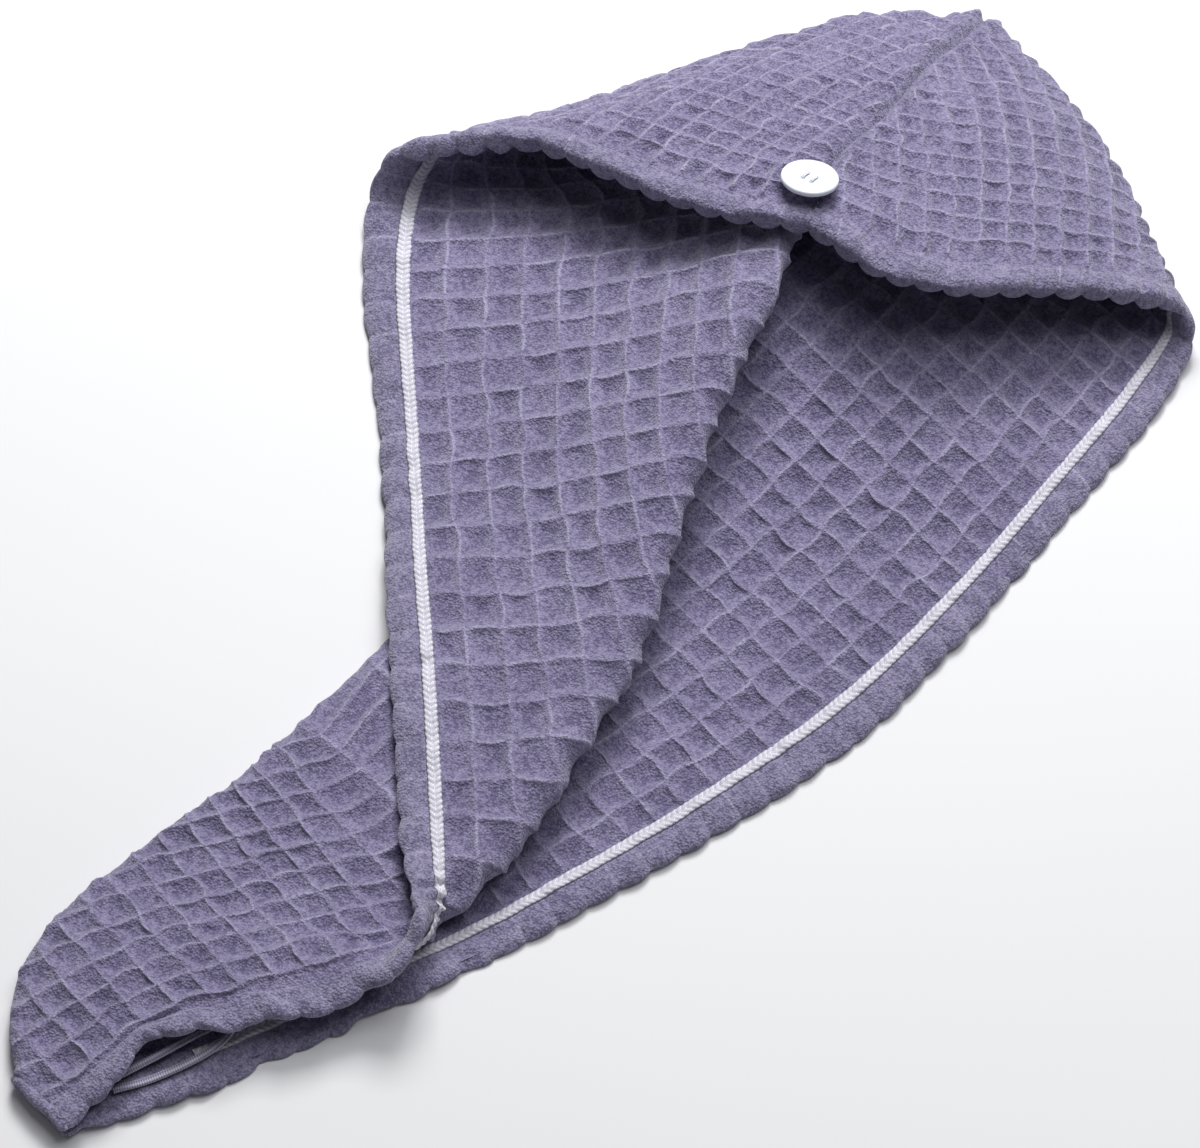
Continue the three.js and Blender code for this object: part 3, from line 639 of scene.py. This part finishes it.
def on_sewn_flap(s):
    """1 on the nape flap, where the halves meet in a sunken seam, 0 on the body and the tail."""
    return 1 - rise(s, *SEWN_FLAP_END)


def skin_relief(half, s, flat, to_edge, weave_height):
    """Height of a skin above the middle of the cloth."""
    near_seam = (1 - rise(to_edge, 3, 14)) * rise(to_edge, 0, 2)
    gathers = near_seam * noise(4, flat[..., 0], flat[..., 1], 5.0)
    open_edge = 0.1 + 0.55 * (1 - on_sewn_flap(s)) * (1 - rise(s, *TAIL_END))
    closing = open_edge + (1 - open_edge) * rise(to_edge, 0, 2.6)
    deeper = 1 + (FLAP_RELIEF[half.side] - 1) * on_sewn_flap(s)
    return CLOTH_THICKNESS / 2 * closing + weave_height * deeper + gathers


def whole_cloth_shift(s, flat, to_edge, calm):
    """How far both skins move together: slow lumps, and the dip and the puffed sides of the flap's seam."""
    seam_dip = rise(to_edge, 0, 3.2) - 1 + 0.35 * np.exp(-((to_edge - 5) / 2.2) ** 2)
    return lumps(flat[..., 0], flat[..., 1], s) * calm + SEAM_SINK * seam_dip * on_sewn_flap(s)


def panel_skins(half):
    us = cell_lines(half.weave[..., 0].min(), half.weave[..., 0].max())
    vs = cell_lines(PANEL_START, half.weave[..., 1].max())
    values, inside, keep = cloth_at(half, half.weave, us, vs)
    s, t, flat = values[..., 0], values[..., 1], values[..., 2:]
    base, normal = cloth_point(s, t), cloth_normal(s, t)
    along_u, along_v = directions(base, us, vs)
    u, v = np.meshgrid(us, vs, indexing="ij")
    to_edge = np.where(inside, edge_distance(half, flat), 0)
    shown = HEM_WIDTH * hem_share(s, half.side)
    calm = rise(to_edge, 0.5, 3.5) * rise(flat[..., 1], shown - 0.5, shown + 2.5)
    height, shift_u, shift_v, crest = waffle(u, v)
    relief = skin_relief(half, s, flat, to_edge, height * calm)
    slow = whole_cloth_shift(s, flat, to_edge, calm)
    slide = (along_u * shift_u[..., None] + along_v * shift_v[..., None]) * (calm * inside)[..., None]
    # Painted shade along the flap's sunken seam, which the material darkens
    painted_seam_groove_shade = on_sewn_flap(s) * (1 - rise(to_edge, 0.4, 2.4))
    # low is painted shade in the pits and the seam; crest, given as the ridge value, is a painted highlight
    # on the ridge tops
    low = np.maximum(np.clip(-height / PIT_DEPTH * 2, 0, 1) * calm, painted_seam_groove_shade)
    faces, used = trimmed(grid_faces(u.shape, keep), u.size)
    u, v, crest, low = [value.ravel()[used] for value in (u, v, crest * calm, low)]
    outer_turn = 1 if half.side == "left" else -1
    for name, face in (("outer", 1), ("inner", -1)):
        points = base + normal * (relief * face + slow)[..., None] + slide
        turned = faces[:, ::-1] if face * outer_turn < 0 else faces
        piece = make_object(f"{half.side}_panel_{name}", points.reshape(-1, 3)[used], turned)
        give_coordinates(piece, u, v, ridge=crest, pit=low)
        yield piece


# Hems: a padded roll along the rim, and the tape on its inner side

# Section of the hem's outer side, from its inner edge to its rim: mm in from the rim, mm up
HEM_SECTION = [
    dict(inward=17.6, up=1.1), dict(inward=16.8, up=1.8), dict(inward=15.9, up=2.2),
    dict(inward=15.0, up=2.0), dict(inward=14.3, up=2.15), dict(inward=13.2, up=2.55),
    dict(inward=11.5, up=2.75), dict(inward=9.5, up=2.85), dict(inward=7.5, up=2.9),
    dict(inward=5.6, up=2.85), dict(inward=4.0, up=2.65), dict(inward=2.7, up=2.35),
    dict(inward=1.6, up=1.9), dict(inward=0.8, up=1.3), dict(inward=0.2, up=0.6),
]


def hem_profile(share=1.0):
    """Places of the hem's closed section, its width times a share: distance in, height."""
    outer = [(point["inward"] * share, point["up"]) for point in HEM_SECTION]
    return outer + [(0.0, 0.0)] + [(v, -h) for v, h in reversed(outer)]


def hem_thickness(v):
    section = HEM_SECTION[::-1]
    return np.interp(v, [point["inward"] for point in section], [point["up"] for point in section])


def roll(half, profile, us, offsets):
    """Points of a closed section carried along the rim; offsets gives height and slide."""
    depths = np.array(sorted({v for v, h in profile}))
    values = cloth_at(half, half.flat, us, depths)[0]
    s, t, u, v = np.moveaxis(values, 2, 0)
    points = cloth_point(s, t)
    parts = points, cloth_normal(s, t), directions(points, us, depths)[1], u, v, s
    pick = [depths.tolist().index(v) for v, h in profile]
    points, normal, along_v, u, v, s = [part[:, pick] for part in parts]
    h = np.array([h for v, h in profile])[None, :] * np.ones_like(u)
    height, slide = offsets(half, u, v, h, s)
    return points + normal * height[..., None] + along_v * slide[..., None], u, v


def tube_faces(rings, sides, flip):
    number = np.arange(rings * sides).reshape(rings, sides)
    after = np.roll(number, -1, axis=1)
    faces = np.stack([number[:-1], after[:-1], after[1:], number[1:]], 2).reshape(-1, 4)
    return faces[:, ::-1] if flip else faces


def make_tube(name, rings, flip=False):
    return make_object(name, rings, tube_faces(*rings.shape[:2], flip))


def hem_height(u, v, h, s, woven, lobe):
    """Height of the hem over the middle of the cloth: padding, lobes, ridges and lip."""
    on_flap = 1 - rise(s, *FLAP_END)
    swell = 0.72 + 0.30 * lobe + 0.14 * noise(5, u, v, 23) + (0.18 + 0.14 * on_flap) * noise(6, u, v, 6)
    side = hem_side(h)
    pile = 0.5 * noise(7, u, v + 40 * np.sign(h), 5) * np.abs(side)
    ridges = side * 0.55 * ridge_shape(woven, v, 1)[0] * rise(v, 2, 6)
    lip = on_flap * (1 - rise(v, 3, 10)) * (h < -0.3) * (0.55 + 0.45 * lobe)
    return h * swell + pile + ridges - LIP_DEPTH * lip + lumps(u, v, s)


def hem_side(h):
    """1 on the hem's outer side, -1 on its inner side, and 0 at the rim."""
    return np.sign(h) * rise(np.abs(h), 0.3, 1.6)


def hem_offsets(half, u, v, h, s):
    """Height and slide of places on the hem, with the twist and the ruffled edge of the tail."""
    on_left = half.side == "left"
    on_tail = rise(s, *TAIL_START)
    near_rim = 1 - rise(v, 5, 14)
    woven = half.woven(np.stack([u, v], 2))[..., 0]
    lobe = np.abs(np.sin(np.pi * woven / CELL)) ** 0.7
    twist = np.exp(-((s - TWIST_ROW) / 0.5) ** 2) * on_left * np.sin(u * 1.05 + v * 0.45) * hem_side(h)
    ruffle = on_tail * noise(6, u, 0 * v, 9) * (1 - rise(v, 4, 11))
    height = hem_height(u, v, h, s, woven, lobe) + TWIST_HEIGHT * twist + RUFFLE_HEIGHT * ruffle
    wobble = 0.9 * noise(3, u, 0 * v, 31) + 0.7 * noise(5, u, 0 * v, 9)
    wobble = wobble + on_tail * (1.3 + 1.1 * on_left) * noise(2, u, 0 * v, 8)
    cover = TAIL_COVER * on_tail * on_left * (1 - rise(s, *TAIL_COVER_END))
    return height, -(LOBE_REACH * (lobe - 0.55) + wobble + cover) * near_rim


def hem(half):
    rim = half.flat[:, 0, 0]
    woven_rim = half.weave[:, 0, 0]
    us = np.interp(cell_lines(0, woven_rim.max()), woven_rim, rim)
    wide, u, v = roll(half, hem_profile(), us, hem_offsets)
    narrow = roll(half, hem_profile(HEM_NARROWEST), us, hem_offsets)[0]
    share = np.interp(us, rim, hem_share(half.rows, half.side))
    turn = ((share - HEM_NARROWEST) / (1 - HEM_NARROWEST))[:, None, None]
    points = wide * turn + narrow * (1 - turn)
    piece = make_tube(f"{half.side}_hem_cloth", points, half.side == "left")
    woven = half.woven(np.stack([u, v], 2))[..., 0]
    # Painted highlight on the hem's ridge tops (ridge) and painted shade in its cells (pit), mixed with
    # random tone from noise
    crest = ridge_shape(woven, v, 1)[0]
    wall = np.minimum(np.abs(ridge_offset(woven)[0]), np.abs(v - 0.42 * HEM_WIDTH - 7))
    low = rise(wall, 0.5, 5) * (0.55 + 0.45 * noise(4, u, v, 11))
    give_coordinates(piece, u, v, ridge=0.8 * crest, pit=low)
    return piece


def tape_stitch(u, v):
    """Place across the tape, from -1 to 1, and the rise and fall of its chain stitches."""
    across = (v - TAPE_FROM) / (TAPE_TO - TAPE_FROM) * 2 - 1
    return across, np.abs(np.sin(np.pi * (u / TAPE_STITCH + 0.9 * np.abs(across))))


def tape_offsets(half, u, v, h, s):
    across, stitch = tape_stitch(u, v)
    crown = np.sqrt(np.maximum(1 - across ** 2, 0)) * (1 - 0.35 * np.exp(-(across / 0.16) ** 2))
    height, slide = hem_offsets(half, u, v, -hem_thickness(v), s)
    return height - h * (0.25 + 0.75 * crown) * (0.2 + 0.8 * stitch ** 0.6), slide


def tape(half):
    ends = half.flat[half.rows <= LAST_ROW - 1, 0, 0].max()
    us = np.arange(2.0, ends, TAPE_STEP)
    spread = np.linspace(TAPE_FROM, TAPE_TO, 9)
    profile = [(v, TAPE_THICKNESS * 1.35) for v in spread]
    profile += [(v, -0.2) for v in spread[::-1][1:-1]]
    points, u, v = roll(half, profile, us, tape_offsets)
    piece = make_tube(f"{half.side}_tape_chain", points, half.side == "left")
    across, stitch = tape_stitch(u, v)
    # The ridge value is high on the stitches' tops and low between loops and at the tape's edges, where the
    # chain material paints shade
    give_coordinates(piece, u, v, ridge=stitch * (1 - 0.5 * across ** 4))
    return piece


def end_roll():
    """The sewn end of the tail, rolled like the hem, from the left rim round the fold to the right rim."""
    t = np.linspace(0, LAST_COLUMN, 240)
    path = cloth_point(np.full(t.size, LAST_ROW - 0.02), t)
    axis = (path - cloth_point(np.full(t.size, LAST_ROW - 1.0), t)).mean(0)
    heading = unit(np.gradient(path, axis=0))
    out = unit(np.cross(heading, axis))
    along = np.cross(out, heading)
    length = lengths_along(path)
    angle = np.linspace(0, 2 * np.pi, END_ROLL_SIDES, endpoint=False)[None, :]
    ends = np.sqrt(np.clip(np.minimum(length, length[-1] - length) / 2.5, 0.02, 1))
    radius = (END_ROLL_DIAMETER / 2 * ends * (1 + 0.16 * noise(2, length, length * 0, 7)))[:, None]
    points = path[:, None] + out[:, None] * (radius * np.cos(angle))[..., None]
    points = points + along[:, None] * (radius * np.sin(angle))[..., None]
    piece = make_tube("tail_end_roll", points)
    u, v = np.meshgrid(length, np.arange(END_ROLL_SIDES), indexing="ij")
    # No crest lightening, and an even pit value that darkens the whole roll slightly through the material's
    # painted shade
    give_coordinates(piece, u, v, ridge=0.0 * u, pit=0.0 * u + 0.3)
    return piece


# Button, thread and elastic loop

def nape_frame():
    """Where the button stands: its underside's middle and the three directions of its disc."""
    row, column = np.array([BUTTON_ROW]), np.array([BUTTON_COLUMN])
    normal = cloth_normal(row, column)[0]
    base = cloth_point(row, column)[0] + normal * (CLOTH_THICKNESS / 2 + BUTTON_STAND_OFF)
    heading = math.radians(BUTTON_TILT_HEADING)
    hinge = Vector((-math.sin(heading), math.cos(heading), 0))
    tilt = Matrix.Rotation(math.radians(BUTTON_TILT), 3, hinge)
    normal = np.array(tilt @ Vector(normal))
    side = unit(np.cross([0, 1, 0], normal))
    return base, side, np.cross(normal, side), normal


def on_nape(points):
    base, side, forward, normal = nape_frame()
    return base + points[:, :1] * side + points[:, 1:2] * forward + points[:, 2:] * normal


def hole_places():
    reach = BUTTON_HOLE_SPACING / 2
    return np.array([(x, y) for x in (-reach, reach) for y in (-reach, reach)])


def button_profile():
    """The button's section from its middle over the dish and the rim to its underside: radius, height."""
    radius = BUTTON_DIAMETER / 2
    inner = radius - BUTTON_RIM
    top, floor = BUTTON_THICKNESS, BUTTON_THICKNESS - BUTTON_DISH
    profile = [(r, floor - 0.1 * math.cos(math.pi * r / inner)) for r in np.linspace(0.05, inner - 1.2, 30)]
    profile += [(inner - 0.7, floor + 0.1), (inner - 0.3, floor + 0.3), (inner, floor + 0.55)]
    profile += [(inner + 0.5, top - 0.02), (inner + 1.2, top + 0.05), (radius - 0.7, top - 0.03)]
    profile += [(radius - 0.25, top - 0.25), (radius, top - 0.75), (radius, 1.2), (radius - 0.3, 0.7)]
    return profile + [(radius - 1.0, 0.25), (radius - 2.2, 0.0), (2.0, 0.0), (0.05, 0.0)]


def button():
    turns = 96
    profile = button_profile()
    angle = np.linspace(0, 2 * np.pi, turns, endpoint=False)
    rings = [[(r * math.cos(a), r * math.sin(a), z) for a in angle] for r, z in profile]
    points = np.array(rings).reshape(-1, 3)
    upper = points[:, 2] > BUTTON_THICKNESS / 2
    edge = BUTTON_HOLE_DIAMETER / 2
    for x, y in hole_places():
        away = np.hypot(points[:, 0] - x, points[:, 1] - y)
        points[:, 2] -= upper * 1.0 * (1 - rise(away, edge - 0.35, edge + 0.15))
    return make_object("button_disc", on_nape(points), tube_faces(len(profile), turns, True))


def strand(path, radius, sides, flat=1.0):
    """A round or flattened strand along a path: points of its rings."""
    heading = unit(np.gradient(path, axis=0))
    side = unit(np.cross(heading, [0.0, 0.0, 1.0]))
    upward = np.cross(side, heading)
    angle = np.linspace(0, 2 * np.pi, sides, endpoint=False)[None, :, None]
    across, up = np.cos(angle) * radius, np.sin(angle) * radius * flat
    return path[:, None] + side[:, None] * across + upward[:, None] * up


def bar_strands():
    """Two bars of three strands each over the button."""
    level = BUTTON_THICKNESS - BUTTON_DISH
    reach = BUTTON_HOLE_SPACING / 2
    y = np.linspace(-reach, reach, 15)
    hump = level + 0.25 + 0.35 * np.cos(np.pi * y / (2 * reach + 0.6)) - 1.2 * (np.abs(y) / reach) ** 8
    for side in (-reach, reach):
        for shift in (-BAR_STRAND_SPACING, 0.0, BAR_STRAND_SPACING):
            yield strand(np.stack([side + shift + 0 * y, y, hump], 1), BAR_STRAND_DIAMETER / 2, 8)


def shank_strands():
    """Strands wound round each other under the button."""
    radius = SHANK_DIAMETER - SHANK_STRAND_DIAMETER
    tilt_drop = SHANK_DIAMETER * math.sin(math.radians(BUTTON_TILT))
    height = np.linspace(-BUTTON_STAND_OFF + 0.1 + tilt_drop, 0.2, 12)
    turn = np.linspace(0, 2 * np.pi, 8, endpoint=False)
    ring = np.stack([np.cos(turn), np.sin(turn), 0 * turn], 1) * SHANK_STRAND_DIAMETER / 2
    for number in range(SHANK_STRANDS):
        angle = 2 * np.pi * number / SHANK_STRANDS + height * 0.7
        path = np.stack([np.cos(angle) * radius, np.sin(angle) * radius, height], 1)
        yield path[:, None] + ring[None]


def thread():
    points, faces, count = [], [], 0
    for rings in [*bar_strands(), *shank_strands()]:
        points.append(rings.reshape(-1, 3))
        faces.append(tube_faces(*rings.shape[:2], False) + count)
        count += len(points[-1])
    return make_object("button_thread_strands", on_nape(np.concatenate(points)), np.concatenate(faces))


def loop_path():
    """The course of the elastic loop, from where it is sewn in to where it is sewn in again."""
    course = np.array([place(entry["at"]) for entry in LOOP_COURSE])
    x = np.linspace(0, len(course) - 1, 160)
    return along_spline(lambda i: course[i], len(course), x)


def elastic_loop():
    path = loop_path()
    flat = LOOP_BAND_THICKNESS / LOOP_BAND_WIDTH
    piece = make_tube("tail_loop_band", strand(path, LOOP_BAND_WIDTH / 2, LOOP_SIDES, flat))
    u, v = np.meshgrid(lengths_along(path), np.arange(LOOP_SIDES) * 0.4, indexing="ij")
    give_coordinates(piece, u, v)
    return piece


# Materials

class Nodes:
    """Short calls for building a material's nodes."""

    def __init__(self, name, roughness, **sockets):
        self.material = bpy.data.materials.new(name)
        self.material.use_nodes = True
        self.tree = self.material.node_tree
        self.shader = self.tree.nodes["Principled BSDF"]
        self.shader.inputs["Roughness"].default_value = roughness
        for key, value in sockets.items():
            self.shader.inputs[key.replace("_", " ")].default_value = value

    def add(self, kind, inputs, **settings):
        """A node with its inputs, by name or number, and its settings; gives its outputs."""
        made = self.tree.nodes.new("ShaderNode" + kind)
        for key, value in settings.items():
            setattr(made, key, value)
        for key, value in inputs.items():
            self.feed(made.inputs[key], value)
        return made.outputs

    def feed(self, socket, value):
        if isinstance(value, bpy.types.NodeSocket):
            self.tree.links.new(value, socket)
        else:
            socket.default_value = value

    def math(self, operation, a, b):
        return self.add("Math", {0: a, 1: b}, operation=operation)[0]

    def ramp(self, value, low, high, to_low=0.0, to_high=1.0):
        inputs = dict(enumerate((value, low, high, to_low, to_high)))
        return self.add("MapRange", inputs, interpolation_type="SMOOTHSTEP")[0]

    def blend(self, share, a, b):
        return self.add("Mix", {0: share, 6: a, 7: b}, data_type="RGBA")[2]

    def attribute(self, name):
        return self.add("Attribute", {}, attribute_name=name)["Fac"]

    def weave(self):
        return self.add("UVMap", {}, uv_map="weave")[0]

    def place(self):
        return self.add("TexCoord", {})["Object"]

    def noise(self, vector, scale, detail=2.0, roughness=0.5):
        inputs = dict(Vector=vector, Scale=scale, Detail=detail, Roughness=roughness)
        return self.add("TexNoise", inputs)["Fac"]

    def loops(self, vector, scale):
        return self.add("TexVoronoi", dict(Vector=vector, Scale=scale))["Distance"]

    def bump(self, height, distance, strength):
        return self.add("Bump", dict(Strength=strength, Distance=distance, Height=height))[0]

    def done(self, colour, normal):
        self.feed(self.shader.inputs["Base Color"], colour)
        self.feed(self.shader.inputs["Normal"], normal)
        return self.material


def terry(name, dark, middle, light):
    """Terry cloth: short loops that catch the light, in three tones of one colour, with painted highlights
    on the weave's crests and painted shade in its pits and the flap's seam groove.
    """
    n = Nodes(name, 0.92, Sheen_Weight=0.35, Sheen_Roughness=0.55, Specular_IOR_Level=0.12)
    spot = n.place()
    loops = n.loops(spot, 950.0)
    fine = n.noise(spot, 1500.0, 3.0, 0.6)
    clumps = n.noise(spot, 420.0, 3.0, 0.65)
    broad = n.noise(spot, 35.0, 3.0, 0.5)
    tone_with_painted_light = n.math("ADD", n.ramp(loops, 0.1, 0.75, 0.42, 0.0), n.ramp(clumps, 0.34, 0.66, 0.0, 0.5))
    tone_with_painted_light = n.math("ADD", tone_with_painted_light, n.ramp(fine, 0.35, 0.65, -0.12, 0.14))
    tone_with_painted_light = n.math("ADD", tone_with_painted_light, n.ramp(broad, 0.3, 0.7, -0.08, 0.08))
    # Painted highlight: the ridge value lightens the crests of the weave and of the hem
    tone_with_painted_light = n.math("ADD", tone_with_painted_light, n.ramp(n.attribute("ridge"), 0.15, 0.95, 0.0, 0.55))
    # Painted shade: the pit value darkens the pits, the flap's seam groove, the hem's cells and, slightly
    # and evenly, the tail's end roll
    tone_with_painted_light = n.math("SUBTRACT", tone_with_painted_light, n.ramp(n.attribute("pit"), 0.2, 1.0, 0.0, 0.18))
    colour = n.blend(n.ramp(tone_with_painted_light, 0.0, 0.5), dark, middle)
    colour = n.blend(n.ramp(tone_with_painted_light, 0.45, 1.25), colour, light)
    pile = n.math("SUBTRACT", n.math("MULTIPLY", clumps, 1.2), n.math("MULTIPLY", loops, 0.7))
    pile = n.math("ADD", pile, n.math("MULTIPLY", fine, 0.5))
    return n.done(colour, n.bump(pile, 0.0009, 0.9))


def plastic():
    n = Nodes("button_plastic", 0.34, Specular_IOR_Level=0.5)
    spot = n.place()
    cloud = n.noise(spot, 90.0, 2.0)
    colour = n.blend(n.ramp(cloud, 0.3, 0.7), (0.70, 0.75, 0.84, 1), (0.80, 0.84, 0.91, 1))
    return n.done(colour, n.bump(n.noise(spot, 1800.0, 2.0), 0.00004, 0.4))


def spun(name, dark, light, scale, painted_loop_shade=False):
    """Spun thread: fine slanting fibres, darker between the loops of a chain as painted shade."""
    n = Nodes(name, 0.75, Sheen_Weight=0.3)
    inputs = dict(Vector=n.place(), Scale=scale, Distortion=3.0, Detail=2.0)
    fibres = n.add("TexWave", inputs, wave_type="BANDS", bands_direction="DIAGONAL")["Fac"]
    fuzz = n.noise(n.place(), 1400.0, 3.0)
    share = n.math("ADD", n.math("MULTIPLY", fibres, 0.5), n.math("MULTIPLY", fuzz, 0.5))
    colour = n.blend(n.ramp(share, 0.25, 0.7), dark, light)
    if painted_loop_shade:
        # Painted shade: grey where the ridge value is low, between the chain's loops and at the tape's
        # edges
        colour = n.blend(n.ramp(n.attribute("ridge"), 0.15, 0.75), (0.50, 0.48, 0.58, 1), colour)
    return n.done(colour, n.bump(share, 0.0003, 0.7))


def elastic():
    """Knitted elastic: fine ribs along the band, with painted shade in the grooves between the ribs and
    painted highlights on their tops.
    """
    n = Nodes("elastic_knit", 0.7, Sheen_Weight=0.2)
    split = n.add("SeparateXYZ", dict(Vector=n.weave()))
    ribs = n.math("SINE", n.math("MULTIPLY", split["Y"], 5200.0), 0.0)
    steps = n.math("SINE", n.math("MULTIPLY", split["X"], 6500.0), 0.0)
    height = n.math("ADD", n.math("MULTIPLY", ribs, 0.5), n.math("MULTIPLY", steps, 0.35))
    # Painted shade and highlight: the colour follows the rib height, dark in the grooves and light on the
    # tops
    colour = n.blend(n.ramp(height, -0.6, 0.6), (0.20, 0.19, 0.28, 1), (0.46, 0.44, 0.55, 1))
    return n.done(colour, n.bump(height, 0.0003, 0.8))


# Making the pieces

waffle_cloth = terry("waffle_terry", dark=(0.125, 0.108, 0.205, 1), middle=(0.235, 0.208, 0.345, 1),
                     light=(0.40, 0.37, 0.53, 1))
hem_cloth = terry("hem_terry", dark=(0.14, 0.125, 0.22, 1), middle=(0.255, 0.23, 0.36, 1),
                  light=(0.42, 0.39, 0.54, 1))
white_tape = spun("white_chain", (0.55, 0.54, 0.62, 1), (0.88, 0.87, 0.93, 1), 900.0, painted_loop_shade=True)
white_thread = spun("white_thread", (0.62, 0.62, 0.68, 1), (0.92, 0.92, 0.95, 1), 1500.0)

for side in ("left", "right"):
    half = Half(side)
    for skin in panel_skins(half):
        finish_piece(skin, waffle_cloth, "waffle_cloth", f"{side}_panel")
    finish_piece(hem(half), hem_cloth, "hem_cloth", f"{side}_hem")
    finish_piece(tape(half), white_tape, "white_tape", f"{side}_tape")

finish_piece(end_roll(), hem_cloth, "hem_cloth")
finish_piece(button(), plastic(), "white_plastic", "button")
finish_piece(thread(), white_thread, "white_thread", "button_thread")
band = finish_piece(elastic_loop(), elastic(), "elastic_band", "tail_loop")
course = (loop_path() - (*FOOTPRINT_CENTRE, 0)) / 1000
course_length = float(lengths_along(course)[-1])

# Floor, light and camera

def floor():
    bpy.ops.mesh.primitive_plane_add(size=8, location=(0, 0, 0))
    plane = bpy.context.object
    plane.name = "floor"
    n = Nodes("pale_floor", 0.9)
    colour = n.blend(n.noise(n.place(), 4.0, 2.0), (0.80, 0.80, 0.81, 1), (0.83, 0.83, 0.84, 1))
    n.feed(n.shader.inputs["Base Color"], colour)
    plane.data.materials.append(n.material)


def area_light(name, at, size, power, colour=(1, 1, 1)):
    """A square soft light, size in metres and power in watts, aimed at the camera's target."""
    data = bpy.data.lights.new(name, "AREA")
    data.size, data.energy, data.color = size, power, colour
    lamp = bpy.data.objects.new(name, data)
    lamp.location = at
    aim = Vector(CAMERA_TARGET) - Vector(at)
    lamp.rotation_euler = aim.to_track_quat("-Z", "Y").to_euler()
    bpy.context.collection.objects.link(lamp)


def camera():
    azimuth, elevation = math.radians(CAMERA_AZIMUTH), math.radians(CAMERA_ELEVATION)
    back = Vector((math.sin(azimuth) * math.cos(elevation), -math.cos(azimuth) * math.cos(elevation),
                   math.sin(elevation)))
    data = bpy.data.cameras.new("camera")
    data.lens, data.sensor_width = CAMERA_LENS, 36.0
    data.clip_start = 0.01
    view = bpy.data.objects.new("camera", data)
    view.location = Vector(CAMERA_TARGET) + back * CAMERA_DISTANCE
    view.rotation_euler = (-back).to_track_quat("-Z", "Y").to_euler()
    bpy.context.collection.objects.link(view)
    bpy.context.scene.camera = view


floor()
camera()
area_light("key", at=(-0.62, 0.90, 1.35), size=0.65, power=27.5)
area_light("overhead", at=(0.15, 0.75, 2.1), size=1.5, power=25, colour=(0.97, 0.98, 1.0))
world = bpy.data.worlds.new("studio")
world.use_nodes = True
background = world.node_tree.nodes["Background"]
background.inputs[0].default_value = (0.95, 0.96, 1.0, 1)
background.inputs[1].default_value = 0.11
bpy.context.scene.world = world
bpy.context.scene.view_settings.view_transform = "Standard"
